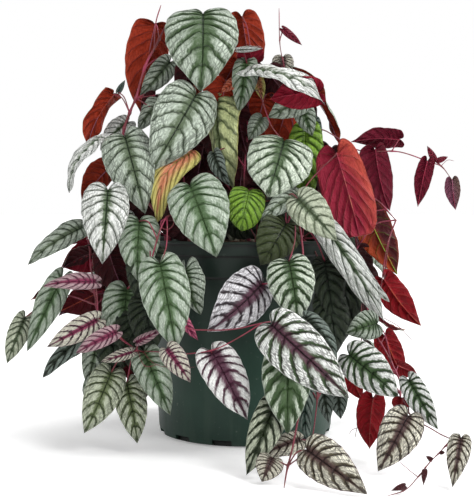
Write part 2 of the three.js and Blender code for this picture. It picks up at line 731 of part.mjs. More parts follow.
function hiddenLeaf(row, joints, bearing, order) {
  const [place, turn, reach, length, droop] = row;
  const bend = radians(bearing + turn);
  const fall = radians(droop);
  const out = new THREE.Vector3(Math.cos(bend), Math.sin(bend), 0);
  const node = joints[Math.round(place * (joints.length - 1))];
  const base = node.clone().addScaledVector(out, reach).addScaledVector(UP, reach / 2);
  const along = out.clone().multiplyScalar(Math.cos(fall)).addScaledVector(UP, -Math.sin(fall));
  const toward = out.clone().multiplyScalar(Math.sin(fall)).addScaledVector(UP, Math.cos(fall));
  const tip = base.clone().addScaledVector(along, length);
  const width = LEAF_SHAPE * length;
  const fold = order % 2 === 0 ? HIDDEN_FOLD : -HIDDEN_FOLD;
  const route = stalkRoute(base, node);
  const shape = { base, tip, toward, width, roll: 0, arch: HIDDEN_ARCH, fold, route };
  return { name: `leaf ${order + 1}`, parts: [leafSolid(shape)] };
}

function growVine(vine, placed, leafAt) {
  const grown = growStems(vine, placed);
  const stem = [
    upright(vine.foot, HOLE_FLOOR, FOOT_TOP, FOOT_RADIUS, STEM_SIDES),
    ...grown.map(({ solid }) => solid),
  ];
  const joints = grown.map((stemPart) => stemPart.joints);
  const leaves = vine.leaves.map((row, order) => leafAt(row, joints, order));
  const { name, colour } = vine;
  return { name, colour, pieces: [{ name: 'stem', parts: stem }, ...leaves] };
}

function growAll() {
  const front = SEEN_VINES.map((vine) => growVine(vine, seen, seenLeaf));
  const back = HIDDEN_VINES.map((vine) => growVine(
    vine,
    millimetres,
    (row, joints, order) => hiddenLeaf(row, joints[0], vine.bearing, order),
  ));
  return [...front, ...back];
}

function meshOf(name, geometry, { colour, roughness }) {
  geometry.computeVertexNormals();
  const material = new THREE.MeshStandardMaterial({ color: colour, roughness, metalness: 0 });
  const mesh = new THREE.Mesh(geometry, material);
  mesh.name = name;
  return mesh;
}

const grownVines = growAll();
const group = new THREE.Group();
group.name = 'potted_rex_begonia_vine';
group.add(meshOf('pot', oneBody(makePot(), 'pot'), FINISH.pot));
group.add(meshOf(
  'potting_mix',
  oneBody(makeMix([...SEEN_VINES, ...HIDDEN_VINES]), 'potting_mix'),
  FINISH.potting_mix,
));
for (const { name, colour = FINISH.vine.colour, pieces } of grownVines) {
  const whole = fused(pieces.flatMap(({ parts }) => parts));
  group.add(meshOf(name, oneBody(whole, name), { ...FINISH.vine, colour }));
}

export default group;
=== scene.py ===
# Potted rex begonia vine: a banded nursery pot with climbing and trailing vines, finished for
# close views. Works in metres, +Z up, X to the right and Y away from the viewer.
# The origin is the middle of the pot's flat underside.

import math

import bpy
import numpy
from mathutils import Matrix, Vector


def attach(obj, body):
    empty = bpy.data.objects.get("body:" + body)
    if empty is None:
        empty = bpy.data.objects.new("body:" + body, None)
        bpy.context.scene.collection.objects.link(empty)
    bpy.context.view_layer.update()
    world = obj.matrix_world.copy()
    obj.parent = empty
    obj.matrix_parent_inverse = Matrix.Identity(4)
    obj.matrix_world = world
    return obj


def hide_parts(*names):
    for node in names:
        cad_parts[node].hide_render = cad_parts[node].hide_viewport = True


bl_info = {
    "name": "Potted Rex Begonia Vine",
    "version": (1, 0, 0),
    "blender": (4, 5, 0),
    "location": "View3D > Sidebar > Begonia Vine",
    "description": "Builds the pot, the potting mix and every vine of a potted rex begonia vine",
    "category": "Object",
}

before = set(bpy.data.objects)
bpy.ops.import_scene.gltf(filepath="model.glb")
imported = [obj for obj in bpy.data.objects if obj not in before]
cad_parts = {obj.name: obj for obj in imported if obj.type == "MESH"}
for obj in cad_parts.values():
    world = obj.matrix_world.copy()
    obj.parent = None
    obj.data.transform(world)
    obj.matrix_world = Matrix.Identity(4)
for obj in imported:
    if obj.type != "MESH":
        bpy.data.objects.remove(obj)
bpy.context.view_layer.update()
MILLIMETRE = 0.001

# Where the viewer of the picture stands, in millimetres and in pixels of a 474 by 500 picture.
EYE_DISTANCE = 1300
EYE_HEIGHT = 258
PIXEL_FOCUS = 1182
AXIS_COLUMN = 245
HORIZON_ROW = 195.5
PICTURE_WIDTH = 474
PICTURE_HEIGHT = 500

# The camera: its sensor in millimetres and the farthest that it sees in metres.
SENSOR = 36
FARTHEST_SEEN = 40

# Where every vine enters the mix, in millimetres: the sunk end of its foot, the height where its
# first stem starts, how far the foot runs on above that, its radius below and at its top, and its
# sections.
FOOT_LOW = 178
FOOT_HIGH = 213
FOOT_COLLAR = 3
FOOT_RADIUS = 2.28
FOOT_NECK = 1.9
FOOT_SECTIONS = 6

# Stems: joints for every listed point, the thinnest listed radius that bears leaves, the drawn radius
# as a share of the listed one, the length of a section, the fewest sections, the sides, and how a
# joint swells and an end narrows.
JOINTS_PER_POINT = 1.6
BEARING_STEM = 0.85
STEM_SHARE = 0.52
STEM_SECTION = 3
FEWEST_SECTIONS = 12
STEM_SIDES = 10
JOINT_SWELLING = 0.35
JOINT_SPREAD = 3
TAPER_START = 0.85
TAPER_SHARE = 0.55

# Stalks: how far below a leaf its joint is looked for, how high a stalk arches as a share of its
# span, the span under which it runs straight, its sections and sides, where it starts on the leaf,
# and how it widens at both ends.
STALK_FALL = 15
STALK_RISE = 0.22
STRAIGHT_STALK = 24
STALK_SECTIONS = 16
STALK_SIDES = 8
STALK_START = 0.25
STALK_SHARE = 0.8
STALK_ENDS = 3
WIDER_AT_LEAF = 0.35
WIDER_AT_STEM = 0.4

# A leaf seen flat, one half from the notch round the lobe to the tip: where its side vein leaves
# the midrib, the margin sideways and along, how the margin waves, and the vein's number as a share.
LEAF_OUTLINE = (
    (0, 0, 0, 0, 0),
    (0, 0.12, -0.08, 0, 0.04),
    (0, 0.28, -0.125, -0.6, 0.09),
    (0, 0.5, -0.12, -1, 0.15),
    (0.005, 0.72, -0.07, -0.6, 0.22),
    (0.02, 0.9, 0.04, 0.4, 0.31),
    (0.07, 0.99, 0.2, 1, 0.42),
    (0.16, 0.97, 0.38, 0, 0.55),
    (0.32, 0.8, 0.58, -1, 0.68),
    (0.55, 0.52, 0.77, 0.4, 0.81),
    (0.8, 0.19, 0.92, 1, 0.93),
    (1, 0, 1, 0, 1),
)
OUTLINE_COLUMNS = tuple(zip(*LEAF_OUTLINE))

# How a leaf swells and waves, as shares of its length, and how many waves its margin has.
SIDE_VEINS = 9
VEIN_BOW = 0.1
MARGIN_WAVE = 0.022
RIB_TROUGH = 0.014
SLOW_WAVES = 2.2
QUICK_WAVES = 5

# How far chance changes a leaf: its fullness, the widths of its halves, and the bend and sway of its
# tip, with the places on the midrib from which the tip bends, sways and hooks.
CHANCE_FULL = 0.06
CHANCE_HALVES = 0.14
CHANCE_BEND = 0.12
CHANCE_SWAY = 0.2
BEND_START = 0.5
SWAY_START = 0.4
HOOK_START = 0.3

# The raised midrib under a leaf, in millimetres: its depth and radius at the notch, how much each
# lessens towards the tip, its sections and sides. Then half a leaf's thickness at notch and tip.
RIB_DEPTH = 1.1
RIB_RISE = 0.5
RIB_RADIUS = 0.9
RIB_TAPER = 0.65
RIB_SECTIONS = 14
RIB_SIDES = 6
NOTCH_EDGE = 0.2
TIP_EDGE = 0.1

# How much thinner each face of a leaf is at its margin, as a share of the thickness.
MARGIN_THINNING = 0.3

# Leaves at the sides and back: width as a share of the length, arch, fold and upper faces in turn.
HIDDEN_SHAPE = 0.62
HIDDEN_ARCH = 0.1
HIDDEN_FOLD = 0.12
HIDDEN_TOPS = ("green", "silver", "plum", "dark", "green", "pale")

# Upper faces of the leaves: patches, web between them, heart, veins and edge, then how much of a
# cell between two veins the web takes, how far the heart reaches, how strong the fine net is and
# how much the patches lean towards one vein, a lean that is part pattern and part painted highlight and
# shade across each cell.
TOPS = {
    "silver": ("silver", "sage", "sage", "bottle", "silver", 0.08, 0.26, 0.7, 0.8),
    "white": ("frost", "sage", "fern", "bottle", "frost", 0.06, 0.16, 0.7, 0.7),
    "pale": ("celery", "sage", "sage", "moss", "celery", 0.16, 0.16, 0.5, 0.8),
    "green": ("silver", "leaf", "leaf", "bottle", "silver", 0.26, 0.42, 0.6, 0.7),
    "meadow": ("silver", "meadow", "leaf", "leaf", "silver", 0.16, 0.36, 0.5, 0.8),
    "banded": ("mint", "leaf", "leaf", "bottle", "silver", 0.26, 0.32, 0.5, 0.6),
    "crisp": ("frost", "fern", "fern", "bottle", "frost", 0.36, 0.3, 0.6, 0),
    "dabbed": ("mint", "fern", "leaf", "fern", "silver", 0.62, 0.66, 0.5, 0),
    "bronze": ("celery", "shadow_green", "shadow_green", "shadow_green", "celery", 0.4, 0.3, 0.6, 0),
    "fresh": ("mint", "fern", "fern", "shadow_green", "mint", 0.42, 0.3, 0.7, 0),
    "dark": ("slate", "bottle", "bottle", "night", "slate", 0.32, 0.3, 0.6, 0.4),
    "teal": ("slate", "teal", "teal", "night", "slate", 0.3, 0.3, 0.5, 0.5),
    "shade": ("deep_olive", "deep_olive", "deep_olive", "night", "deep_olive", 0.6, 0.3, 0.1, 0),
    "plum": ("frost", "fern", "plum", "aubergine", "frost", 0.38, 0.34, 0.9, 0),
    "rosy": ("frost", "plum", "plum", "plum", "frost", 0.3, 0.46, 0.3, 0),
    "violet": ("pearl", "dusk", "plum", "aubergine", "pearl", 0.26, 0.34, 0.8, 0),
    "pink": ("petal", "mauve", "magenta", "plum", "petal", 0.3, 0.4, 0.5, 0),
    "stripe": ("cream", "plum", "magenta", "aubergine", "petal", 0.3, 0.26, 0.6, 0),
    "brown": ("cream", "taupe", "umber", "aubergine", "mauve", 0.3, 0.36, 1.0, 0),
    "olive": ("celery", "moss", "moss", "shadow_green", "celery", 0.26, 0.24, 0.7, 0),
    "lime": ("lime", "deep_lime", "lime", "deep_lime", "lime", 0.26, 0.1, 0.4, 0.5),
    "yellow": ("straw", "moss", "moss", "moss", "lemon", 0.26, 0.3, 0.5, 0.6),
    "dying": ("lemon", "lemon", "salmon", "lemon", "lemon", 0.2, 0.75, 0.0, 0),
    "crimson": ("crimson", "claret", "crimson", "wine", "crimson", 0.4, 0.3, 0.3, 0),
    "wine": ("wine", "maroon", "wine", "maroon", "wine", 0.4, 0.3, 0.2, 0),
    "orange_young": ("salmon", "ember", "ember", "wine", "salmon", 0.3, 0.3, 0.2, 0),
    "hot": ("blush", "magenta", "magenta", "magenta", "blush", 0.4, 0.5, 0.2, 0),
    # Painted shade: the darkest greens, for leaves deep inside the plant where little light reaches.
    "deep": ("shadow_green", "bottle", "bottle", "night", "bottle", 0.4, 0.3, 0.4, 0.4),
}

# Undersides: towards the tip and one side, towards the notch and the other side, blotches, edge
# and midrib, then where the first two meet.
UNDERSIDES = {
    "maroon": ("maroon", "maroon", "night", "maroon", "mauve", 0.4),
    "orange": ("brick", "brick", "rust", "ember", "mauve", 0.4),
    "crimson": ("claret", "claret", "maroon", "wine", "crimson", 0.4),
    "sunset": ("cerise", "coral", "cerise", "rust", "salmon", 0.4),
    "rust": ("ember", "maroon", "maroon", "ember", "lime", -0.04),
    "wine": ("wine", "maroon", "maroon", "wine", "ember", 0.4),
    "ruby": ("ruby", "ruby", "maroon", "ruby", "ember", 0.4),
    "garnet": ("garnet", "garnet", "wine", "garnet", "crimson", 0.4),
    "hot": ("magenta", "magenta", "maroon", "blush", "magenta", 0.4),
    "dusty": ("mauve", "taupe", "mauve", "claret", "claret", 0.2),
}

# How a leaf differs: how far its lobes reach behind the notch as a share of the usual, how much
# fuller it is towards its tip, and how far the tip hooks sideways.
HABIT = (1, 0, 0)


def leaf(base, tip, width, top, under="maroon", roll=0, arch=0.1, fold=0.1, habit=HABIT, past=()):
    """A leaf of the picture: its ends, its width in pixels, its faces, roll in degrees and stalk."""
    return base, tip, width, top, under, roll, arch, fold, habit, past


def back(base, tip, width, roll=180, **differences):
    """A leaf of the picture that shows its underside."""
    return leaf(base, tip, width, "green", roll=roll, **differences)


# Vines seen in the picture. A point is (column, row, depth), the depth in millimetres beyond the
# pot's axis. A stem is (radius, points). What a stalk passes on its way to the stem is its past.
SEEN_VINES = (
    dict(name="vine_crown_left", foot=(-66, -22), stems=(
        (2.6, ((150, 205, -18), (132, 165, -12), (123, 137, -5), (130, 112, 0), (136, 98, 3),
            (141, 80, 6), (147, 62, 8), (155, 47, 10), (166, 25, 14))),
        (1.3, ((154, 49, 10), (156, 22, 10), (161, 5, 10))),
    ), leaves=(
        leaf((203, 14, 10), (203, 92, -25), 74, "green", fold=-0.1,
            past=((185, 40, 22), (201, 26, 18))),
        back((155, 24, 30), (139, 112, 20), 44, roll=170, under="orange", arch=0.08, fold=0.15,
            habit=(0.3, 0.05, 0)),
        back((113, 94, 10), (87, 150, 0), 34, roll=125, under="orange", habit=(0.4, 0.05, 0)),
        leaf((103, 138, -16), (68, 192, -34), 40, "white", roll=70, arch=0.12),
        back((112, 165, 15), (81, 203, 15), 32, roll=150, under="orange"),
        leaf((128, 122, 20), (100, 150, 16), 24, "white", roll=20),
        leaf((125, 137, -45), (146, 214, -75), 52, "silver", fold=-0.1),
        leaf((170, 62, 20), (141, 97, 14), 24, "silver"),
        leaf((163, 100, 8), (137, 130, 2), 24, "silver", roll=20),
        leaf((196, 95, -30), (152, 172, -65), 62, "silver", fold=-0.1,
            past=((180, 122, 0), (199, 110, -14))),
        leaf((192, 151, -38), (134, 197, -74), 29, "dying", roll=10, fold=-0.2,
            habit=(0.6, 0.22, -0.9)),
        back((155, 95, 5), (141, 108, 5), 16, roll=160),
        leaf((118, 92, 8), (125, 80, 8), 6, "teal"),
    )),
    dict(name="vine_top", foot=(4, -14), stems=(
        (1.6, ((244, 190, -10), (247, 130, -2), (249, 90, 2), (250, 62, 5), (251, 52, 6))),
    ), leaves=(
        leaf((190, 186, -95), (218, 257, -125), 60, "meadow", arch=0.08, fold=-0.1),
        leaf((218, 96, -2), (231, 190, -42), 40, "yellow", roll=30, fold=-0.6, habit=(0.1, -0.02, 0)),
        leaf((246, 62, -5), (240, 113, -15), 26, "meadow"),
        back((242, 17, 22), (251, 72, 14), 38, roll=176, under="orange", arch=0.05,
            habit=(0.9, 0.15, 0)),
        leaf((252, 62, 2), (249, 46, -38), 28, "silver", roll=180, under="garnet"),
        leaf((250, 72, -22), (327, 103, -58), 46, "white", roll=-66),
        leaf((284, 141, -60), (268, 197, -100), 66, "banded", fold=-0.1, habit=(0.9, 0.1, 0),
            past=((257, 90, -20), (272, 127, -52))),
        leaf((238, 50, -38), (263, 49, -38), 6, "white", under="garnet"),
        leaf((214, 153, -55), (230, 186, -75), 18, "dark", roll=20),
        back((254, 62, 5), (268, 75, 5), 10, roll=160),
        back((236, 62, 10), (222, 88, 10), 24, roll=165, under="orange"),
        leaf((262, 118, -15), (248, 140, -20), 20, "silver"),
    )),
    dict(name="vine_arch_right", foot=(48, 4), stems=(
        (1.5, ((290, 190, 4), (293, 130, 4), (288, 90, 4), (283, 60, 3))),
        (0.9, ((283, 62, 3), (280, 45, 3), (279, 8, 3))),
    ), leaves=(
        leaf((283, 29, 3), (302, 45, 3), 8, "crimson", under="crimson", fold=0),
        leaf((283, 57, 10), (284, 80, 10), 22, "brown", fold=0),
        leaf((290, 72, 20), (338, 143, 10), 36, "silver", roll=-110, under="orange", fold=0.2),
        leaf((306, 96, -22), (268, 118, -30), 30, "silver"),
        leaf((300, 104, -18), (313, 136, -22), 22, "green"),
        leaf((306, 130, -6), (308, 207, -20), 36, "lime", roll=10),
        leaf((315, 122, 12), (322, 165, 8), 16, "teal", roll=30),
    )),
    dict(name="vine_right_branch", foot=(72, 10), stems=(
        (1.3, ((318, 190, 8), (318, 155, 0), (320, 130, -10), (338, 138, -16), (358, 150, -20),
            (400, 152, -25), (432, 163, -28), (441, 166, -28), (452, 180, -28))),
        (0.5, ((441, 166, -28), (448, 160, -29), (454, 161, -30))),
    ), leaves=(
        leaf((399, 139, -25), (351, 142, -20), 25, "crimson", roll=150, under="crimson",
            habit=(0.8, -0.04, 0)),
        leaf((375, 150, -25), (389, 211, -35), 34, "crimson", roll=160, under="crimson", fold=0.2,
            habit=(0.8, 0.04, 0)),
        leaf((427, 162, -30), (418, 207, -35), 18, "crimson", roll=170, under="crimson"),
        leaf((452, 180, -28), (455, 210, -30), 16, "crimson", roll=170, under="dusty"),
        leaf((435, 161, -28), (427, 146, -28), 7, "crimson", under="crimson"),
        leaf((437, 161, -28), (448, 157, -28), 6, "crimson", under="crimson"),
    )),
    dict(name="vine_right_middle", foot=(60, -58), stems=(
        (1.6, ((305, 215, -66), (308, 200, -68), (325, 202, -52), (350, 205, -44), (372, 198, -36),
            (396, 220, -48))),
        (0.6, ((384, 318, -88), (398, 326, -92), (413, 341, -94))),
    ), leaves=(
        back((337, 154, -50), (361, 236, -85), 51, under="sunset", arch=0.08, fold=0.08,
            habit=(1, 0.3, 0), past=((305, 190, -66), (318, 172, -56))),
        leaf((321, 223, -100), (381, 323, -122), 30, "white", roll=-20, fold=-0.1, habit=(0.4, 0.1, 0)),
        leaf((367, 212, -40), (399, 274, -60), 40, "olive", roll=160, under="rust"),
        leaf((384, 280, -60), (420, 327, -80), 30, "olive", roll=165, under="ruby"),
        leaf((378, 316, -70), (405, 330, -75), 20, "olive", roll=100, under="wine"),
        leaf((337, 240, -96), (391, 301, -104), 20, "white", roll=20),
        leaf((344, 266, -80), (342, 346, -96), 40, "deep"),
        leaf((328, 296, -100), (338, 354, -110), 36, "deep"),
        leaf((338, 232, -50), (330, 290, -56), 40, "deep"),
        back((356, 250, -44), (362, 300, -48), 34, roll=170),
    )),
    dict(name="vine_inner", foot=(12, -62), stems=(
        (1.4, ((258, 218, -74), (262, 203, -80), (285, 200, -88))),
    ), leaves=(
        leaf((249, 191, -95), (240, 231, -108), 38, "lime", fold=-0.1, habit=(0.8, 0.12, 0)),
        leaf((300, 195, -90), (260, 221, -105), 26, "silver", roll=30),
        leaf((298, 199, -112), (338, 240, -130), 38, "pale"),
        leaf((286, 224, -108), (262, 266, -122), 44, "shade"),
        leaf((325, 262, -94), (334, 322, -106), 34, "deep", past=((302, 222, -98), (316, 240, -100))),
        leaf((232, 220, -40), (272, 226, -46), 36, "deep"),
        leaf((298, 222, -40), (262, 212, -40), 34, "deep"),
    )),
    dict(name="vine_front_right", foot=(38, -82), stems=(
        (1.9, ((288, 222, -88), (292, 213, -94), (299, 224, -106), (302, 242, -120), (303, 256, -126),
            (298, 290, -140), (282, 318, -160), (262, 323, -168))),
        (1.6, ((282, 318, -160), (290, 345, -172), (300, 380, -190), (300, 405, -205), (296, 430, -218),
            (292, 450, -232), (287, 470, -246), (284, 488, -266))),
        (1.1, ((300, 372, -186), (312, 378, -176), (317, 390, -172), (315, 420, -182),
            (312, 440, -192))),
        (1.1, ((262, 323, -168), (243, 335, -171), (225, 345, -172), (213, 350, -170), (183, 354, -160),
            (160, 352, -145), (144, 351, -132))),
        (1.1, ((262, 323, -168), (235, 329, -166), (205, 330, -160), (188, 328, -152),
            (181, 318, -146))),
        (0.5, ((143, 352, -131), (155, 364, -140), (175, 368, -148), (195, 367, -152))),
    ), leaves=(
        leaf((289, 262, -140), (300, 322, -165), 48, "fresh", fold=-0.1,
            past=((293, 215, -94), (295, 240, -124))),
        leaf((272, 325, -200), (350, 397, -215), 55, "plum", fold=-0.1, habit=(0.7, 0, 0)),
        leaf((305, 318, -178), (338, 362, -188), 26, "dark", roll=-30),
        leaf((290, 350, -188), (285, 434, -222), 52, "dabbed", fold=-0.1),
        leaf((262, 284, -135), (207, 332, -150), 52, "violet", roll=-17, fold=-0.3),
        leaf((212, 353, -165), (245, 421, -180), 44, "rosy", roll=-15),
        leaf((167, 349, -165), (191, 382, -175), 24, "stripe"),
        leaf((276, 402, -196), (246, 475, -226), 34, "bronze"),
        leaf((272, 458, -238), (262, 482, -248), 28, "brown"),
        leaf((300, 440, -205), (258, 458, -212), 24, "brown", roll=20),
        leaf((307, 450, -250), (368, 494, -288), 44, "brown", fold=-0.1),
        leaf((322, 385, -150), (329, 423, -160), 18, "dark"),
        leaf((338, 385, -136), (340, 419, -140), 20, "dark"),
        leaf((180, 314, -146), (198, 340, -150), 12, "hot", roll=10, under="hot"),
        leaf((182, 318, -146), (166, 324, -147), 11, "orange_young", under="orange"),
        leaf((308, 385, -160), (306, 440, -175), 18, "teal", roll=20),
        leaf((303, 455, -245), (310, 478, -252), 8, "wine", under="wine"),
    )),
    dict(name="vine_right_trail", foot=(78, -38), stems=(
        (1.6, ((322, 230, -42), (332, 227, -48), (345, 238, -58), (355, 262, -68), (365, 300, -84),
            (375, 333, -100), (385, 350, -118), (395, 370, -140), (400, 382, -150), (401, 400, -170),
            (408, 412, -184), (418, 422, -194))),
        (1.2, ((418, 422, -194), (430, 428, -204), (440, 434, -212), (451, 439, -222))),
        (0.9, ((451, 439, -222), (440, 452, -232), (430, 462, -242), (418, 477, -256), (405, 490, -278),
            (387, 496, -294))),
        (0.6, ((361, 418, -150), (357, 428, -152), (355, 438, -154))),
        (0.5, ((357, 428, -152), (352, 430, -153), (349, 434, -154))),
        (0.6, ((418, 477, -256), (409, 470, -254), (400, 462, -252))),
    ), leaves=(
        leaf((385, 336, -105), (404, 380, -120), 28, "olive", roll=165, under="ruby"),
        leaf((349, 355, -170), (400, 396, -190), 42, "crisp", fold=-0.1),
        leaf((377, 324, -150), (346, 333, -155), 30, "green", roll=10, under="rust"),
        leaf((409, 380, -190), (437, 430, -200), 25, "crisp"),
        leaf((352, 375, -140), (362, 400, -145), 20, "olive", roll=160, under="ruby"),
        leaf((373, 398, -150), (369, 449, -165), 30, "olive", roll=165, under="ruby"),
        leaf((408, 416, -205), (379, 472, -215), 42, "brown"),
        leaf((461, 438, -240), (453, 487, -268), 24, "brown"),
        leaf((398, 366, -130), (417, 373, -135), 16, "olive", roll=160, under="ruby"),
        leaf((425, 470, -252), (423, 485, -264), 6, "wine", under="wine", fold=0.2),
        leaf((405, 486, -276), (391, 490, -286), 7, "wine", under="wine", fold=0.2),
        leaf((432, 460, -240), (426, 456, -240), 5, "wine", under="wine", fold=0.2),
        leaf((440, 453, -232), (445, 452, -232), 4, "wine", under="wine", fold=0.2),
        leaf((402, 398, -190), (402, 412, -192), 22, "olive", roll=150, under="ruby"),
    )),
    dict(name="vine_front_left", foot=(-58, -62), stems=(
        (1.4, ((184, 226, -74), (174, 216, -88), (167, 217, -100), (161, 228, -108), (152, 258, -116),
            (145, 290, -114))),
        (0.8, ((167, 217, -100), (161, 222, -103), (162, 228, -105), (169, 229, -106), (174, 223, -105),
            (172, 217, -103))),
    ), leaves=(
        leaf((160, 264, -135), (177, 350, -155), 50, "meadow", fold=-0.1,
            past=((167, 219, -102), (166, 248, -128))),
        leaf((186, 270, -122), (200, 315, -128), 30, "green", roll=30, fold=-0.5, habit=(1.9, 0, 0)),
        leaf((139, 221, -86), (136, 282, -108), 42, "meadow", fold=-0.1),
        leaf((127, 289, -94), (122, 352, -100), 45, "meadow", fold=-0.1),
        leaf((136, 312, -100), (142, 382, -110), 42, "deep"),
        leaf((150, 250, -96), (140, 306, -104), 42, "deep"),
        leaf((146, 300, -108), (152, 356, -114), 38, "deep"),
    )),
    dict(name="vine_left_trail", foot=(-85, -25), stems=(
        (1.6, ((155, 228, -30), (130, 222, -36), (105, 230, -52), (91, 248, -62), (92, 275, -72),
            (95, 295, -80), (97, 310, -94), (101, 322, -106), (117, 336, -117), (137, 350, -127))),
        (0.5, ((137, 350, -127), (145, 366, -132), (160, 364, -136))),
    ), leaves=(
        leaf((108, 190, -96), (102, 264, -120), 48, "white", fold=-0.1),
        leaf((82, 228, -70), (28, 265, -80), 26, "silver", roll=30),
        leaf((95, 252, -60), (62, 268, -62), 24, "silver", roll=140),
        leaf((95, 282, -110), (43, 286, -115), 18, "pink", roll=20),
        leaf((60, 290, -76), (31, 300, -78), 14, "silver", roll=150, under="wine"),
        leaf((62, 278, -85), (29, 352, -100), 28, "meadow", roll=10),
        leaf((104, 292, -60), (58, 315, -60), 28, "silver", roll=150),
        leaf((25, 318, -80), (6, 363, -82), 22, "pale"),
        leaf((97, 320, -125), (47, 347, -130), 24, "stripe"),
        leaf((92, 330, -105), (42, 377, -110), 22, "dark", roll=20),
        leaf((116, 332, -140), (75, 352, -142), 18, "pink"),
        leaf((98, 340, -100), (87, 388, -105), 24, "silver"),
        leaf((111, 373, -115), (86, 434, -125), 38, "olive", fold=-0.1),
        leaf((127, 383, -110), (139, 443, -120), 32, "olive"),
        leaf((130, 358, -105), (130, 382, -108), 16, "olive", roll=160, under="wine"),
        leaf((144, 352, -120), (171, 415, -130), 34, "meadow", fold=-0.1),
        leaf((132, 352, -130), (101, 362, -132), 12, "stripe"),
        leaf((137, 342, -130), (165, 328, -138), 10, "pink"),
        back((90, 228, -60), (65, 247, -62), 20, roll=150, under="garnet"),
        back((108, 250, -72), (128, 300, -78), 40, roll=160),
        back((98, 252, -56), (62, 268, -58), 34, roll=170, under="garnet"),
        back((120, 296, -80), (138, 344, -86), 40, roll=170),
        back((104, 290, -62), (60, 312, -66), 36, roll=175, under="wine"),
        leaf((112, 328, -98), (116, 382, -104), 38, "deep"),
    )),
    dict(name="vine_crown_inside_left", foot=(-45, 20), stems=(
        (1.5, ((190, 205, 24), (181, 150, 28), (186, 112, 30))),
    ), leaves=(
        back((222, 104, 14), (212, 160, 4), 42),
        back((205, 140, 28), (192, 206, 22), 46, roll=175),
        back((176, 100, 32), (166, 158, 28), 42),
        back((166, 150, 24), (152, 212, 18), 46, roll=185),
        back((216, 178, -16), (210, 228, -22), 42),
        back((150, 190, 8), (140, 238, 4), 40),
        leaf((200, 80, -12), (196, 98, -16), 11, "orange_young", under="orange"),
        leaf((238, 82, -10), (221, 92, -12), 13, "orange_young", roll=20, under="orange"),
        back((200, 220, -40), (150, 222, -44), 46, roll=175),
        back((196, 58, 0), (178, 98, -6), 32, roll=175),
        back((226, 84, -10), (214, 132, -16), 40, under="orange"),
        back((206, 196, -8), (188, 240, -12), 36),
    )),
    dict(name="vine_crown_inside_right", foot=(15, 28), stems=(
        (1.5, ((262, 205, 28), (268, 150, 30), (270, 104, 30))),
    ), leaves=(
        back((258, 84, 22), (256, 150, 16), 44),
        back((298, 102, 34), (292, 158, 28), 44),
        back((244, 140, 4), (240, 196, -4), 42),
        back((282, 150, 20), (290, 206, 16), 46),
        back((312, 150, 26), (326, 210, 22), 42),
        back((262, 186, -2), (268, 228, -8), 42),
        leaf((258, 78, -4), (263, 100, -6), 12, "dying", under="orange"),
        back((236, 108, -8), (247, 156, -12), 28, roll=175),
        back((268, 72, -6), (292, 102, -10), 32, roll=175),
        back((290, 98, 8), (274, 152, 2), 46, roll=175, under="orange"),
        back((264, 98, -2), (252, 150, -8), 36, roll=175, under="orange"),
        back((318, 92, -40), (270, 98, -44), 34, roll=170, under="garnet"),
        back((330, 150, 0), (322, 196, -4), 30, roll=175),
        leaf((244, 196, -40), (240, 238, -44), 34, "deep"),
        leaf((284, 196, -40), (278, 240, -44), 36, "deep"),
        leaf((316, 200, -30), (310, 244, -34), 34, "deep"),
    )),
)

# Vines at the sides and back, in millimetres. A leaf is (place on the stem, turn from the bearing,
# reach of the stalk, length, droop in degrees).
HIDDEN_STEM = 1.6
HIDDEN_VINES = (
    dict(name="vine_side_left", bearing=170, foot=(-84, 14), stems=((HIDDEN_STEM, (
        (-98, 18, 236), (-118, 22, 238), (-134, 26, 215), (-142, 30, 170), (-146, 34, 120),
        (-148, 36, 78))),), leaves=(
        (0.3, 60, 14, 74, 60), (0.42, -50, 16, 72, 60), (0.56, 75, 18, 72, 65), (0.76, -55, 16, 66, 65),
        (1, 20, 10, 60, 68),
    )),
    dict(name="vine_side_right", bearing=15, foot=(84, 22), stems=((HIDDEN_STEM, (
        (98, 26, 236), (114, 30, 236), (124, 34, 212), (130, 38, 170), (132, 40, 125),
        (132, 42, 85))),), leaves=(
        (0.3, 60, 14, 70, 60), (0.44, -50, 14, 66, 62), (0.64, 65, 16, 68, 65), (1, 0, 10, 60, 68),
    )),
    dict(name="vine_back_left", bearing=132, foot=(-54, 62), stems=((HIDDEN_STEM, (
        (-62, 72, 236), (-76, 86, 240), (-88, 98, 218), (-93, 104, 170), (-96, 106, 115),
        (-98, 108, 60))),), leaves=(
        (0.28, 55, 14, 78, 58), (0.4, -50, 14, 74, 60), (0.56, 60, 16, 76, 64), (0.74, -50, 16, 70, 66),
        (1, 0, 10, 60, 68),
    )),
    dict(name="vine_back", bearing=92, foot=(-4, 82), stems=((HIDDEN_STEM, (
        (-4, 94, 238), (-5, 112, 241), (-6, 128, 218), (-8, 135, 165), (-8, 138, 110),
        (-6, 142, 50))),), leaves=(
        (0.28, 55, 14, 78, 55), (0.4, -50, 14, 76, 58), (0.56, 60, 16, 78, 62), (0.74, -50, 16, 72, 64),
        (1, 0, 10, 60, 62), (0.12, 130, 16, 70, 40), (0.12, -140, 16, 70, 40),
    )),
    dict(name="vine_back_right", bearing=55, foot=(48, 66), stems=((HIDDEN_STEM, (
        (56, 78, 236), (68, 92, 240), (78, 106, 218), (82, 112, 170), (84, 114, 120),
        (84, 116, 70))),), leaves=(
        (0.28, 50, 14, 76, 58), (0.42, -45, 14, 72, 60), (0.62, 50, 16, 72, 64), (1, 0, 10, 62, 68),
    )),
    dict(name="vine_crown_back", bearing=95, foot=(-14, 58), stems=((HIDDEN_STEM, (
        (-16, 62, 260), (-18, 66, 310), (-16, 66, 350), (-14, 66, 375))),), leaves=(
        (0.4, 70, 22, 80, 44), (0.56, -50, 20, 80, 44), (0.72, 60, 20, 74, 42), (0.94, -20, 16, 66, 34),
        (0.14, 120, 18, 84, 35), (0.14, -120, 18, 84, 35), (0.28, 178, 16, 78, 58),
        (0.42, 140, 20, 76, 50), (0.42, -150, 20, 76, 50),
    )),
)

# Vines whose leaves are mostly seen from below and red.
RED_VINES = ("vine_right_branch", "vine_crown_inside_left", "vine_crown_inside_right")


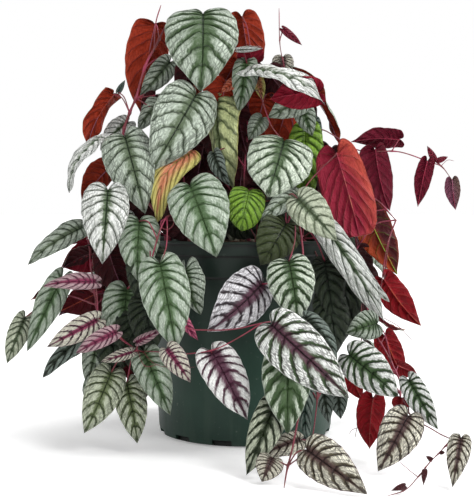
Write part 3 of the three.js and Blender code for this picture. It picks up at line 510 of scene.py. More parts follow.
# Measures and chance

CHANCE_PRIME = 2147483647


def chances(seed):
    """Numbers from 0 to 1 that come out the same on every run."""
    state = seed * 7919 + 12345
    while True:
        state = state * 16807 % CHANCE_PRIME
        yield state / CHANCE_PRIME


def smooth_between(values, place):
    """A value between listed ones on a smooth curve, with the place running from 0 to 1."""
    span = place * (len(values) - 1)
    first = min(int(span), len(values) - 2)
    t = span - first
    before = values[max(first - 1, 0)]
    here, after = values[first], values[first + 1]
    beyond = values[min(first + 2, len(values) - 1)]
    slope_in = (after - before) / 2
    slope_out = (beyond - here) / 2
    return (
        here * (1 + 2 * t) * (1 - t) ** 2
        + slope_in * t * (1 - t) ** 2
        + after * t * t * (3 - 2 * t)
        - slope_out * t * t * (1 - t)
    )


def seen(point):
    """The place in millimetres of a picture point at a given depth."""
    column, row, depth = point
    spread = (EYE_DISTANCE + depth) / PIXEL_FOCUS
    return Vector((
        (column - AXIS_COLUMN) * spread,
        depth,
        EYE_HEIGHT - (row - HORIZON_ROW) * spread,
    ))


def fine_curve(points, per_span=24):
    """Closely spaced points on a smooth curve through the given ones, however uneven they are."""
    ends = [2 * points[0] - points[1], *points, 2 * points[-1] - points[-2]]
    found = []
    for first in range(len(points) - 1):
        p0, p1, p2, p3 = ends[first:first + 4]
        gaps = [max((b - a).length, 1e-6) ** 0.5 for a, b in ((p0, p1), (p1, p2), (p2, p3))]
        d0, d1, d2 = gaps
        leave = ((p1 - p0) / d0 - (p2 - p0) / (d0 + d1) + (p2 - p1) / d1) * d1
        enter = ((p2 - p1) / d1 - (p3 - p1) / (d1 + d2) + (p3 - p2) / d2) * d1
        for step in range(per_span):
            t = step / per_span
            found.append(
                p1 + leave * t + (3 * (p2 - p1) - 2 * leave - enter) * t ** 2
                + (2 * (p1 - p2) + leave + enter) * t ** 3
            )
    return found + [points[-1]]


def spaced(curve, count):
    """Points at even distances along a finely divided curve."""
    lengths = [0]
    for a, b in zip(curve, curve[1:]):
        lengths.append(lengths[-1] + (b - a).length)
    found = []
    segment = 0
    for step in range(count + 1):
        target = lengths[-1] * step / count
        while segment < len(curve) - 2 and lengths[segment + 1] < target:
            segment += 1
        span = lengths[segment + 1] - lengths[segment]
        share = (target - lengths[segment]) / span if span > 0 else 0
        found.append(curve[segment].lerp(curve[segment + 1], min(1, max(0, share))))
    return found


# Pieces

# The length in millimetres over which a stem's markings repeat.
TUBE_LENGTH = 60


class Piece:
    """Points and faces gathered in millimetres before they become one object."""

    def __init__(self, name):
        self.name = name
        self.points = []
        self.spots = []
        self.tints = []
        self.faces = []
        self.finishes = []

    def add(self, points, spots, tint, faces, finishes):
        """Take in points with their places on the leaf, and faces with the key of their finish."""
        start = len(self.points)
        self.points += points
        self.spots += spots
        self.tints += [tint] * len(points)
        self.faces += [tuple(start + corner for corner in face) for face in faces]
        self.finishes += finishes

    def build(self, materials):
        """Make the object, in metres, with the finishes that its faces use."""
        mesh = bpy.data.meshes.new(self.name)
        mesh.from_pydata([point * MILLIMETRE for point in self.points], [], self.faces)
        used = sorted(set(self.finishes))
        for finish in used:
            mesh.materials.append(materials[finish])
        order = {finish: index for index, finish in enumerate(used)}
        mesh.polygons.foreach_set("material_index", [order[finish] for finish in self.finishes])
        mesh.polygons.foreach_set("use_smooth", [True] * len(self.faces))
        corners = numpy.zeros(len(mesh.loops), dtype=numpy.int32)
        mesh.loops.foreach_get("vertex_index", corners)
        spots = numpy.array(self.spots, dtype=numpy.float32)
        layer = mesh.uv_layers.new(name="leaf")
        layer.data.foreach_set("uv", spots[corners].ravel())
        tint = mesh.attributes.new("tint", "FLOAT_COLOR", "POINT")
        tint.data.foreach_set("color", numpy.array(self.tints, dtype=numpy.float32).ravel())
        mesh.update()
        made = bpy.data.objects.new(self.name, mesh)
        bpy.context.scene.collection.objects.link(made)
        return made


def tube(piece, curve, radii, finish, tint, sides):
    """A round stem or stalk along a curve, closed at both ends."""
    points, spots, faces = [], [], []
    heading = (curve[1] - curve[0]).normalized()
    lateral = heading.orthogonal().normalized()
    travelled = 0
    for index, place in enumerate(curve):
        ahead = curve[min(index + 1, len(curve) - 1)]
        behind = curve[max(index - 1, 0)]
        if index:
            travelled += (place - curve[index - 1]).length
        onward = (ahead - behind).normalized()
        lateral = heading.rotation_difference(onward) @ lateral
        heading = onward
        upward = heading.cross(lateral)
        radius = radii[index]
        for side in range(sides):
            turn = math.tau * side / sides
            points.append(place + (lateral * math.cos(turn) + upward * math.sin(turn)) * radius)
            spots.append((travelled / TUBE_LENGTH, side / sides))
    for ring in range(len(curve) - 1):
        for side in range(sides):
            a = ring * sides + side
            b = ring * sides + (side + 1) % sides
            faces.append((a, b, b + sides, a + sides))
    last = (len(curve) - 1) * sides
    faces.append(tuple(reversed(range(sides))))
    faces.append(tuple(range(last, last + sides)))
    piece.add(points, spots, tint, faces, [finish] * len(faces))


class Blade:
    """The middle surface of one leaf, with its margin, teeth, swellings and waves."""

    def __init__(self, base, tip, toward, width, roll, arch, fold, habit, luck):
        along = tip - base
        self.length = along.length
        self.along = along.normalized()
        facing = (toward - self.along * toward.dot(self.along)).normalized()
        side = self.along.cross(facing)
        self.upper = facing * math.cos(roll) + side * math.sin(roll)
        self.across = side * math.cos(roll) - facing * math.sin(roll)
        self.base = base
        self.half = width / 2
        self.arch = arch
        self.fold = fold
        self.lobes, self.full, self.hook = habit
        self.swing = [next(luck) for _ in range(7)]

    def lift(self, reach):
        """How far the arch raises the leaf at a share of its length."""
        return 4 * self.arch * self.length * reach * (1 - reach)

    def place(self, t, sideways, sizes):
        """A point of the blade and its vein number: t runs from notch to tip, sideways -1 to 1."""
        rib, out, reach, wave, vein = (smooth_between(column, t) for column in OUTLINE_COLUMNS)
        hand = 1 if sideways > 0 else -1
        r = abs(sideways)
        a, b, c, d, e, f, g = self.swing
        full = self.full + (a - 0.5) * CHANCE_FULL
        reach = reach + full * math.sin(math.pi * reach) if reach > 0 else reach * self.lobes
        ends = min(1, 6 * t, 6 * (1 - t))
        cell = abs((vein + VEIN_BOW * r * (1 - r)) * SIDE_VEINS % 1 - 0.5) * 2
        teeth = 1 + sizes.tooth * (cell - 0.4) * ends * r ** 8
        lopsided = 1 + hand * (f - 0.5) * CHANCE_HALVES
        out = max(out, 0) * self.half * teeth * lopsided
        ahead = rib + (reach - rib) * r ** 1.2
        rise = self.lift(max(0, rib)) * (1 - r) + self.lift(reach) * r
        rise += self.fold * out * r ** 1.5
        rise += hand * MARGIN_WAVE * wave * self.length * r ** 1.5
        ripple = math.sin(math.tau * (SLOW_WAVES * vein + a + (b if hand > 0 else 0)))
        flutter = math.sin(math.tau * (QUICK_WAVES * vein + c + (d if hand > 0 else 0)))
        rise += self.length * ends * r * r * (sizes.ripple * ripple + sizes.flutter * flutter * r)
        swelling = min(1, 5 * r) * (1 - r ** 4)
        rise += sizes.quilt * self.length * (1 - cell ** 3) * swelling * ends
        rise -= RIB_TROUGH * self.length * (1 - r) ** 8 * ends
        bend = (e - 0.5) * CHANCE_BEND * self.length * max(0, ahead - BEND_START) ** 2
        sway = (g - 0.5) * CHANCE_SWAY * self.length * max(0, ahead - SWAY_START) ** 2
        sway += self.hook * self.length * max(0, ahead - HOOK_START) ** 2
        place = (
            self.base
            + self.across * (hand * out * r + sway)
            + self.along * ahead * self.length
            + self.upper * (rise + bend)
        )
        return place, vein


def leaf_tint(luck):
    """What sets one leaf's look apart: its brightness, its mottling and one number to spare."""
    return (next(luck), next(luck), next(luck), 1)


def add_blade(piece, blade, top, underside, tint, sizes):
    """The two faces of a leaf, its rim and the raised midrib under it."""
    rows, half = sizes.rows, sizes.columns
    sides = [column / half for column in range(-half, half + 1)]
    net = [[blade.place(row / rows, side, sizes) for side in sides] for row in range(1, rows)]
    grid = [[place for place, _ in line] for line in net]
    veins = [line[0][1] for line in net]
    start, end = blade.place(0, 0, sizes)[0], blade.place(1, 0, sizes)[0]
    uppers, unders, spots = [], [], []
    for row, line in enumerate(grid):
        for side, place in zip(sides, line):
            thin = 0.5 - MARGIN_THINNING * side ** 4
            rise = blade.upper * sizes.thickness / MILLIMETRE * thin
            uppers.append(place + rise)
            unders.append(place - rise)
            spots.append((veins[row], 0.5 + side / 2))
    wide = 2 * half + 1
    count = len(uppers)
    tips = [start + blade.upper * NOTCH_EDGE, end + blade.upper * TIP_EDGE]
    low_tips = [start - blade.upper * NOTCH_EDGE, end - blade.upper * TIP_EDGE]
    points = uppers + tips + unders + low_tips
    spots = spots + [(0, 0.5), (1, 0.5)]
    first, last, shift = count, count + 1, count + 2
    up = []
    for row in range(len(grid) - 1):
        for column in range(2 * half):
            a = row * wide + column
            up.append((a, a + 1, a + 1 + wide))
            up.append((a, a + 1 + wide, a + wide))
    foot = (len(grid) - 1) * wide
    for column in range(2 * half):
        up.append((first, column + 1, column))
        up.append((foot + column, foot + column + 1, last))
    down = [tuple(shift + corner for corner in reversed(face)) for face in up]
    edge = [first] + [row * wide + 2 * half for row in range(len(grid))] + [last]
    edge += [row * wide for row in reversed(range(len(grid)))]
    rim = []
    for a, b in zip(edge, edge[1:] + edge[:1]):
        rim.append((b, a, a + shift, b + shift))
    finishes = ["top_" + top] * (len(up) + len(rim)) + ["under_" + underside] * len(down)
    piece.add(points, spots + spots, tint, up + rim + down, finishes)
    steps = [step / RIB_SECTIONS for step in range(RIB_SECTIONS + 1)]
    ridge = [
        blade.place(t, 0, sizes)[0] - blade.upper * (RIB_DEPTH - RIB_RISE * t) for t in steps
    ]
    radii = [RIB_RADIUS - RIB_TAPER * t for t in steps]
    tube(piece, ridge, radii, "rib_" + underside, tint, RIB_SIDES)


def stalk_route(base, node):
    """The points that a stalk passes from its leaf to the joint on the stem."""
    if (node - base).length < STRAIGHT_STALK:
        return [node]
    bend = base.lerp(node, 0.5)
    bend.z += STALK_RISE * (node - base).length
    return [bend, node]


def add_stalk(piece, blade, route, tint, sizes):
    """The leaf stalk, from just under the blade back into the stem."""
    under = blade.upper * RIB_DEPTH
    inward = blade.place(STALK_START, 0, sizes)[0] - under
    curve = spaced(fine_curve([inward, blade.base - under, *route], 8), STALK_SECTIONS)
    radius = sizes.stalk / 2 / MILLIMETRE
    radii = []
    for step in range(STALK_SECTIONS + 1):
        at_leaf = max(0, 1 - step / STALK_ENDS)
        at_stem = max(0, 1 - (STALK_SECTIONS - step) / STALK_ENDS)
        radii.append(radius * (STALK_SHARE + WIDER_AT_LEAF * at_leaf + WIDER_AT_STEM * at_stem))
    tube(piece, curve, radii, "stem", tint, STALK_SIDES)


def add_stem(piece, curve, radius, knots, tint):
    """A stem that swells a little where leaves grow from it and narrows at its end."""
    length = sum((b - a).length for a, b in zip(curve, curve[1:]))
    count = max(FEWEST_SECTIONS, math.ceil(length / STEM_SECTION))
    path = spaced(curve, count)
    radii = []
    for step, place in enumerate(path):
        near = min(((place - knot).length for knot in knots), default=math.inf)
        swell = JOINT_SWELLING * math.exp(-((near / JOINT_SPREAD) ** 2))
        taper = 1 - TAPER_SHARE * max(0, (step / count - TAPER_START) / (1 - TAPER_START)) ** 2
        radii.append(radius * (STEM_SHARE + swell) * taper)
    tube(piece, path, radii, "stem", tint, STEM_SIDES)


def grow(name, vine, placed, leaf_row, sizes, seed):
    """One vine as one piece: foot, stems, stalks and leaves."""
    luck = chances(seed)
    piece = Piece(name)
    foot = Vector((*vine["foot"], FOOT_HIGH))
    tint = leaf_tint(luck)
    curves, joints = [], []
    for order, (radius, points) in enumerate(vine["stems"]):
        route = [placed(point) for point in points]
        curve = fine_curve([foot, *route] if order == 0 else route)
        curves.append((radius, curve))
        if radius >= BEARING_STEM:
            joints.append(spaced(curve, math.ceil(JOINTS_PER_POINT * len(points))))
    knots = []
    for order, row in enumerate(vine["leaves"]):
        shape, route, top, underside = leaf_row(row, joints, order, vine)
        blade = Blade(*shape, luck)
        look = leaf_tint(luck)
        add_blade(piece, blade, top, underside, look, sizes)
        add_stalk(piece, blade, route, look, sizes)
        knots.append(route[-1])
    low = [Vector((*vine["foot"], FOOT_LOW)), foot, foot + Vector((0, 0, FOOT_COLLAR))]
    radii = [FOOT_RADIUS] * FOOT_SECTIONS + [FOOT_NECK]
    tube(piece, spaced(low, FOOT_SECTIONS), radii, "stem", tint, STEM_SIDES)
    for radius, curve in curves:
        add_stem(piece, curve, radius, knots, tint)
    return piece


def seen_leaf(row, joints, order, vine):
    """A leaf of the picture: its shape, its stalk's route and its faces."""
    start, end, columns, top, underside, degrees, arch, fold, habit, past = row
    base, tip = seen(start), seen(end)
    halfway = base.lerp(tip, 0.5)
    toward = Vector((0, -EYE_DISTANCE, EYE_HEIGHT)) - halfway
    width = columns * (EYE_DISTANCE + halfway.y) / PIXEL_FOCUS
    stops = [seen(point) for point in past]
    target = stops[0] if stops else base - Vector((0, 0, STALK_FALL))
    node = min((joint for line in joints for joint in line), key=lambda j: (j - target).length)
    route = [*reversed(stops), node] if stops else stalk_route(base, node)
    shape = (base, tip, toward, width, math.radians(degrees), arch, fold, habit)
    return shape, route, top, underside


def hidden_leaf(row, joints, order, vine):
    """A leaf of the sides or back: its shape, its stalk's route and its faces."""
    place, turn, reach, length, droop = row
    bend = math.radians(vine["bearing"] + turn)
    fall = math.radians(droop)
    out = Vector((math.cos(bend), math.sin(bend), 0))
    up = Vector((0, 0, 1))
    line = joints[0]
    node = line[math.floor(place * (len(line) - 1) + 0.5)]
    base = node + out * reach + up * reach / 2
    along = out * math.cos(fall) - up * math.sin(fall)
    toward = out * math.sin(fall) + up * math.cos(fall)
    fold = HIDDEN_FOLD if order % 2 == 0 else -HIDDEN_FOLD
    tip = base + along * length
    shape = (base, tip, toward, HIDDEN_SHAPE * length, 0, HIDDEN_ARCH, fold, HABIT)
    top = HIDDEN_TOPS[(order + vine["bearing"]) % len(HIDDEN_TOPS)]
    return shape, stalk_route(base, node), top, "maroon"


# Finishes

# Noises, in waves per metre, and how far two of them shift the side veins.
GRAIN_WAVES = 900.0
FLECK_WAVES = 330.0
WOBBLE_WAVES = 150.0
DRIFT_WAVES = 55.0
WOBBLE_SHIFT = 0.035
DRIFT_SHIFT = 0.05

# The mottling and the net of a leaf: how often they change along and round it, how much wider its
# blotches are, and how far chance sets the pattern of one leaf from that of the next.
MOTTLE_ALONG = 46
MOTTLE_AROUND = 13
BLOTCH_SCALE = 0.33
NET_ALONG = 1.3
NET_AROUND = 26
NET_GAP = 0.14
NET_DRIFT = (1.5, 4)
LEAVES_APART = 40

# Between two side veins, counted from 0 to 1: how far the middle band lies from the middle, where a
# patch that leans on one vein starts and ends, and how much of it is gone at its end; this lean is
# partly painted highlight and shade across the swollen cell. Near the margin, how wide the forks of the
# veins are and where they start.
BAND_SHIFT = 0.1
LEAN_LIT_START = (0.02, 0.24)
LEAN_SHADED_END = (0.35, 1.0)
LEAN_SHADED_LOSS = 0.95
FORK_WIDTH = 0.12
FORK_START = (0.4, 0.6)


class Value:
    """One number or colour that changes over a surface, written as ordinary arithmetic."""

    def __init__(self, finish, socket):
        self.finish = finish
        self.socket = socket

    def math(self, operation, *values):
        return self.finish.node("ShaderNodeMath", {"operation": operation}, dict(enumerate(values)))

    def __add__(self, other):
        return self.math("ADD", self, other)

    __radd__ = __add__

    def __sub__(self, other):
        return self.math("SUBTRACT", self, other)

    def __rsub__(self, other):
        return self.math("SUBTRACT", other, self)

    def __mul__(self, other):
        return self.math("MULTIPLY", self, other)

    __rmul__ = __mul__

    def __pow__(self, other):
        return self.math("POWER", self, other)

    def __mod__(self, other):
        return self.math("FLOORED_MODULO", self, other)

    def __abs__(self):
        return self.math("ABSOLUTE", self)

    def most(self, other):
        """The larger of the two."""
        return self.math("MAXIMUM", self, other)

    def rising(self, low, high):
        """0 below low, 1 above high, and a smooth rise between."""
        settings = {"interpolation_type": "SMOOTHSTEP"}
        sockets = {"Value": self, "From Min": low, "From Max": high}
        return self.finish.node("ShaderNodeMapRange", settings, sockets)


class Finish:
    """A material and the nodes that make it."""

    def __init__(self, name):
        self.material = bpy.data.materials.new(name)
        self.material.use_nodes = True
        self.tree = self.material.node_tree
        self.tree.nodes.clear()
        self.here = self.node("ShaderNodeTexCoord", {}, {}, "Object")

    def node(self, kind, settings, sockets, result=0):
        """A node with its settings and inputs, named or numbered, and one of its outputs."""
        made = self.tree.nodes.new(kind)
        for name, value in settings.items():
            setattr(made, name, value)
        for key, value in sockets.items():
            socket = self.pick(made.inputs, key)
            if isinstance(value, Value):
                self.tree.links.new(value.socket, socket)
            else:
                socket.default_value = value
        return Value(self, self.pick(made.outputs, result))

    def pick(self, sockets, key):
        if isinstance(key, int):
            return sockets[key]
        return next(s for s in sockets if s.enabled and key in (s.identifier, s.name))

    def part(self, vector, letter):
        return self.node("ShaderNodeSeparateXYZ", {}, {0: vector}, letter)

    def scaled(self, across, up):
        """The place on the piece with its level and its upright part scaled."""
        settings, sockets = {"operation": "MULTIPLY"}, {0: self.here, 1: (across, across, up)}
        return self.node("ShaderNodeVectorMath", settings, sockets)

    def mix(self, share, first, second):
        sockets = {"Factor": share, "A": first, "B": second}
        return self.node("ShaderNodeMix", {"data_type": "RGBA"}, sockets, "Result")

    def noise(self, scale, detail=3.0, place=None):
        sockets = {"Vector": place or self.here, "Scale": scale, "Detail": detail}
        return self.node("ShaderNodeTexNoise", {}, sockets)

    def close(self, colour, roughness, height, distance, **constants):
        """Join colour, roughness and relief to the shader, and the shader to the output."""
        sockets = {"Height": height, "Distance": distance, "Strength": 1.0}
        normal = self.node("ShaderNodeBump", {}, sockets, "Normal")
        sockets = {"Base Color": colour, "Roughness": roughness, "Normal": normal}
        sockets.update({name.replace("_", " "): value for name, value in constants.items()})
        shader = self.node("ShaderNodeBsdfPrincipled", {}, sockets)
        output = self.tree.nodes.new("ShaderNodeOutputMaterial")
        self.tree.links.new(shader.socket, output.inputs["Surface"])
        return self.material


def ink(colour):
    """A colour with full cover, as sockets want it."""
    return (*colour, 1)


class LeafFinish(Finish):
    """A leaf's material, with its places: along and round the leaf, veins, net and mottling."""

    def __init__(self, name):
        super().__init__(name)
        spot = self.node("ShaderNodeUVMap", {"uv_map": "leaf"}, {})
        self.along = self.part(spot, "X")
        self.around = self.part(spot, "Y")
        tint = self.node("ShaderNodeAttribute", {"attribute_name": "tint"}, {}, "Color")
        self.bright = self.node("ShaderNodeSeparateColor", {}, {0: tint}, "Red")
        self.patchy = self.node("ShaderNodeSeparateColor", {}, {0: tint}, "Green")
        self.r = abs(self.around - 0.5) * 2
        self.grain = self.noise(GRAIN_WAVES)
        self.drift = self.noise(DRIFT_WAVES, 2.0)
        bent = self.r * (1 - self.r) * VEIN_BOW
        wobble = (self.noise(WOBBLE_WAVES, 2.0) - 0.5) * WOBBLE_SHIFT
        q = (self.along + bent + wobble + (self.drift - 0.5) * DRIFT_SHIFT) * SIDE_VEINS
        self.vein = abs(q % 1 - 0.5) * 2
        self.band = 1 - abs((q + BAND_SHIFT) % 1 - 0.5) * 2
        # Patches that lean on one vein: part pattern, part painted highlight and shade across each
        # swollen cell.
        self.lean_and_side_light = (q % 1).rising(*LEAN_LIT_START) - (q % 1).rising(*LEAN_SHADED_END) * LEAN_SHADED_LOSS
        stretched = self.node("ShaderNodeCombineXYZ", {}, {
            0: self.along * MOTTLE_ALONG, 1: self.around * MOTTLE_AROUND,
            2: self.patchy * LEAVES_APART})
        self.mottle = self.noise(1.0, 3.0, stretched)
        self.blotch = self.noise(BLOTCH_SCALE, 2.0, stretched)
        self.fleck = self.noise(FLECK_WAVES)
        ladder = self.node("ShaderNodeCombineXYZ", {}, {
            0: q * NET_ALONG + self.drift * NET_DRIFT[0],
            1: self.around * NET_AROUND + self.drift * NET_DRIFT[1],
            2: self.patchy * LEAVES_APART})
        sockets = {"Vector": ladder, "Scale": 1.0, "Randomness": 0.8}
        gap = self.node("ShaderNodeTexVoronoi", {"feature": "DISTANCE_TO_EDGE"}, sockets)
        self.net = 1 - gap.rising(0.0, NET_GAP)
        self.fork = (1 - self.vein.rising(0.0, FORK_WIDTH)) * self.r.rising(*FORK_START)


# Upper faces. A pair says where something starts and where it is full, from 0 at the midrib to 1 at
# the margin, or from 0 at the notch to 1 at the tip for the tip's shade, or else from weak to strong.
MARGIN_FADE = (0.8, 1.15)
FLECKS = (0.5, 0.66)
BLOTCHES = (0.5, 0.72)
VEIN_GAPS = (0.45, 0.7)
VEIN_START = (0.0, 0.08)
NET_START = (0.15, 0.75)
MARGIN_LINE = (0.95, 1.0)
MIDRIB_LINE = (0.012, 0.04)
MIDRIB_TROUGH = (0.0, 0.05)
TIP_SHADE = (0.6, 1.0)

# How strongly mottling, chance and the way to the margin move the edges of heart and patches.
HEART_MOTTLE = 0.5
CORE_MOTTLE = 0.35
CORE_VEINS = 0.14
PATCH_MOTTLE = 1.1
PATCH_CHANCE = 0.16
PATCH_OUTWARD = 0.25
MARGIN_MOTTLE = 0.6

# What depends on how far a look's patches lean on one vein, a lean that also paints highlight and shade
# across each cell: the value with no lean, and what a full lean adds. Softness of the patches, blotches
# of web on them, their loss at the margin, the strength of the heart, and where a vein's line starts.
PATCH_SOFT = (0.16, 0.24)
PATCH_BLOTCHES = (0.12, 0.4)
PATCH_MARGIN = (0.15, 0.45)
HEART_SHARE = (0.95, -0.35)
LINE_START = (0.86, 0.06)
LINE_FULL = 0.99

# How strongly flecks, net, margin, shade and roughness show.
FLECK_SHARE = 0.14
VEIN_SHARE = 0.92
VEIN_GAP_SHARE = 0.4
NET_SHARE = 0.75
MARGIN_SHARE = 0.6
CHANCE_SHADE = 0.14
GRAIN_SHADE = 0.25
TIP_SHARE = 0.06
SATIN = 0.44
SATIN_GRAIN = 0.2
SATIN_PATCH = 0.08

# The relief of upper faces: swelling between veins, net, grain, mottling and the midrib's trough.
SWELLING = 1.5
NET_RELIEF = 0.9
GRAIN_RELIEF = 0.3
MOTTLE_RELIEF = 1.4
TROUGH_RELIEF = 0.8


def leaned(pair, lit_side_lean):
    """A number that changes with how far the patches lean on one vein, the lean that partly paints
    highlight and shade.
    """
    return pair[0] + pair[1] * lit_side_lean


def leaf_top(name, look, colours, sizes):
    """A satin upper face: silvery patches between sunken veins, with a coloured heart."""
    *hues, gap, reach, netting, lit_side_lean = look
    patch, web, heart, line, edge = (ink(getattr(colours, hue)) for hue in hues)
    finish = LeafFinish(name)
    r, vein, mottle = finish.r, finish.vein, finish.mottle
    uneven, grain = mottle - 0.5, finish.grain - 0.5
    inner = (r + uneven * HEART_MOTTLE).rising(reach * 0.3, reach * 0.8 + 0.3)
    # Painted highlight and shade: with lean, each cell is bright beside one vein and fades dark towards
    # the next.
    cell = finish.band * (1 - lit_side_lean) + finish.lean_and_side_light * lit_side_lean
    cell = cell + uneven * PATCH_MOTTLE + (finish.patchy - 0.5) * PATCH_CHANCE
    cell = cell + (r - 0.5) * PATCH_OUTWARD
    outer = (r + uneven * MARGIN_MOTTLE).rising(*MARGIN_FADE)
    outer = 1 - outer * leaned(PATCH_MARGIN, lit_side_lean)
    fleck = 1 - finish.fleck.rising(*FLECKS) * FLECK_SHARE
    soft = leaned(PATCH_SOFT, lit_side_lean)
    silver = cell.rising(gap - soft, gap + soft * 1.2) * inner * outer * fleck
    colour = finish.mix(silver, web, patch)
    blotch = finish.blotch.rising(*BLOTCHES) * leaned(PATCH_BLOTCHES, lit_side_lean)
    colour = finish.mix(blotch, colour, web)
    core = r - vein ** 4 * CORE_VEINS + uneven * CORE_MOTTLE
    core = 1 - core.rising(reach * 0.3, reach * 1.1)
    colour = finish.mix(core * leaned(HEART_SHARE, lit_side_lean), colour, heart)
    thin = vein.rising(leaned(LINE_START, lit_side_lean), LINE_FULL) * r.rising(*VEIN_START)
    thin = thin * (VEIN_SHARE - mottle.rising(*VEIN_GAPS) * VEIN_GAP_SHARE)
    colour = finish.mix(thin, colour, line)
    net = finish.net.most(finish.fork) * r.rising(*NET_START) * netting
    colour = finish.mix(net * NET_SHARE, colour, line)
    colour = finish.mix(r.rising(*MARGIN_LINE) * MARGIN_SHARE, colour, edge)
    colour = finish.mix(1 - r.rising(*MIDRIB_LINE), colour, line)
    shade = finish.bright * CHANCE_SHADE + grain * GRAIN_SHADE
    shade = shade + finish.along.rising(*TIP_SHADE) * TIP_SHARE
    colour = finish.mix(shade.most(0.0), colour, web)
    rough = SATIN + grain * SATIN_GRAIN - silver * SATIN_PATCH
    relief = (1 - vein ** 5) * SWELLING - net * NET_RELIEF + finish.grain * GRAIN_RELIEF
    relief = relief + mottle * MOTTLE_RELIEF
    relief = relief - (1 - r.rising(*MIDRIB_TROUGH)) * TROUGH_RELIEF
    return finish.close(
        colour, rough, relief, sizes.vein_depth, Specular_IOR_Level=0.45, Coat_Weight=0.06)


# Undersides: where the two grounds blend, and where blotches, margin and raised veins start and are
# full; then how strongly each shows.
GROUND_BLEND = 0.3
GROUND_DRIFT = 0.5
UNDER_BLOTCHES = (0.45, 0.72)
UNDER_MARGIN = (0.85, 1.0)
UNDER_VEINS = (0.86, 0.98)
UNDER_VEIN_END = (0.8, 1.0)
UNDER_SHARE = 0.4
UNDER_VEIN_SHARE = 0.24
UNDER_NET_SHARE = 0.3
UNDER_SHADE = 0.3

# The dullness and relief of undersides: grain, side veins, net, swelling between veins, mottling.
UNDER_DULL = 0.55
UNDER_DULL_GRAIN = 0.2
UNDER_VEIN_SHEEN = 0.08
UNDER_VEIN_RELIEF = 0.9
UNDER_NET_RELIEF = 0.8
UNDER_GRAIN_RELIEF = 0.3
UNDER_SWELLING = 0.5
UNDER_MOTTLE_RELIEF = 0.8


def leaf_underside(name, look, colours, sizes):
    """A dull underside: raised veins on a red or orange ground."""
    *hues, meeting = look
    near, far, blotch, edge, rib = (ink(getattr(colours, hue)) for hue in hues)
    finish = LeafFinish(name)
    r, vein, grain = finish.r, finish.vein, finish.grain - 0.5
    across = finish.around * 0.8 - finish.along * 0.5 + (finish.drift - 0.5) * GROUND_DRIFT
    ground = across.rising(meeting - GROUND_BLEND, meeting + GROUND_BLEND)
    colour = finish.mix(ground, near, far)
    colour = finish.mix(finish.blotch.rising(*UNDER_BLOTCHES) * UNDER_SHARE, colour, blotch)
    colour = finish.mix(r.rising(*UNDER_MARGIN) * UNDER_SHARE, colour, edge)
    line = vein.rising(*UNDER_VEINS) * (1 - r.rising(*UNDER_VEIN_END))
    net = finish.net * UNDER_SHARE
    colour = finish.mix(line * UNDER_VEIN_SHARE, colour, rib)
    colour = finish.mix(net * UNDER_NET_SHARE, colour, blotch)
    shade = finish.bright * UNDER_SHADE + grain * UNDER_SHADE
    colour = finish.mix(shade.most(0.0), colour, blotch)
    rough = UNDER_DULL + grain * UNDER_DULL_GRAIN - line * UNDER_VEIN_SHEEN
    relief = line * UNDER_VEIN_RELIEF + net * UNDER_NET_RELIEF + finish.grain * UNDER_GRAIN_RELIEF
    relief = relief - (1 - vein ** 3) * UNDER_SWELLING
    relief = relief + finish.mottle * UNDER_MOTTLE_RELIEF
    return finish.close(colour, rough, relief, sizes.vein_depth, Specular_IOR_Level=0.25)


# Stems: the colour of their flecks, the noises of grain and drift, and the height over which their
# feet are shaded, in metres.
STEM_FLECKS = (0.55, 0.4, 0.32, 1)
STEM_GRAIN = 700.0
STEM_DRIFT = 45.0
STEM_SHADED = 0.16
STEM_SHADE = 0.75

# Where a stem's blush and flecks start and are full, how strongly flecks show, its roughness, and
# how many ridges it has in TUBE_LENGTH, with the relief of ridges and grain.
STEM_BLUSH = (0.35, 0.65)
STEM_FLECKED = (0.6, 0.72)
STEM_FLECK_SHARE = 0.35
STEM_ROUGH = 0.42
STEM_ROUGH_GRAIN = 0.3
STEM_RIDGES = 9
STEM_RIDGE_RELIEF = 0.4
STEM_GRAIN_RELIEF = 0.6


def stem_finish(name, ground, blush, shade):
    """A smooth young stem, flecked, and darker low down towards the floor as painted shade."""
    finish = Finish(name)
    spot = finish.node("ShaderNodeUVMap", {"uv_map": "leaf"}, {})
    run = finish.part(spot, "X")
    grain = finish.noise(STEM_GRAIN)
    drift = finish.noise(STEM_DRIFT, 2.0)
    colour = finish.mix(drift.rising(*STEM_BLUSH), ink(ground), ink(blush))
    height = finish.part(finish.here, "Z")
    # Painted shade: stems and ribs turn darker towards the floor.
    low = STEM_SHADE - height.rising(0.0, STEM_SHADED) * STEM_SHADE
    colour = finish.mix(low, colour, ink(shade))
    flecks = grain.rising(*STEM_FLECKED)
    colour = finish.mix(flecks * STEM_FLECK_SHARE, colour, STEM_FLECKS)
    rough = STEM_ROUGH + (grain - 0.5) * STEM_ROUGH_GRAIN
    ridges = abs((run * STEM_RIDGES + drift) % 1 - 0.5) * STEM_RIDGE_RELIEF
    ridges = ridges + grain * STEM_GRAIN_RELIEF
    return finish.close(colour, rough, ridges, 0.3 * MILLIMETRE, Specular_IOR_Level=0.4)


# Painted shade on the pot, in metres: how softly its dark line in the crease under a band starts, where
# it fades out, how far it runs on down the wall below, how soft a notch's edge is, how far the painted
# shade of a notch reaches in from the foot, and the heights between which the pot darkens towards the
# top under the leaves.
CREASE_SOFT = 0.0004
CREASE_FADE = (0.002, 0.0036)
SHADE_BELOW_START = 0.001
SHADE_BELOW_FADE = (0.002, 0.012)
NOTCH_SOFT = 0.0006
NOTCH_REACH = (0.006, 0.0015)
PAINTED_SHADE_HEIGHTS = (0.07, 0.16)

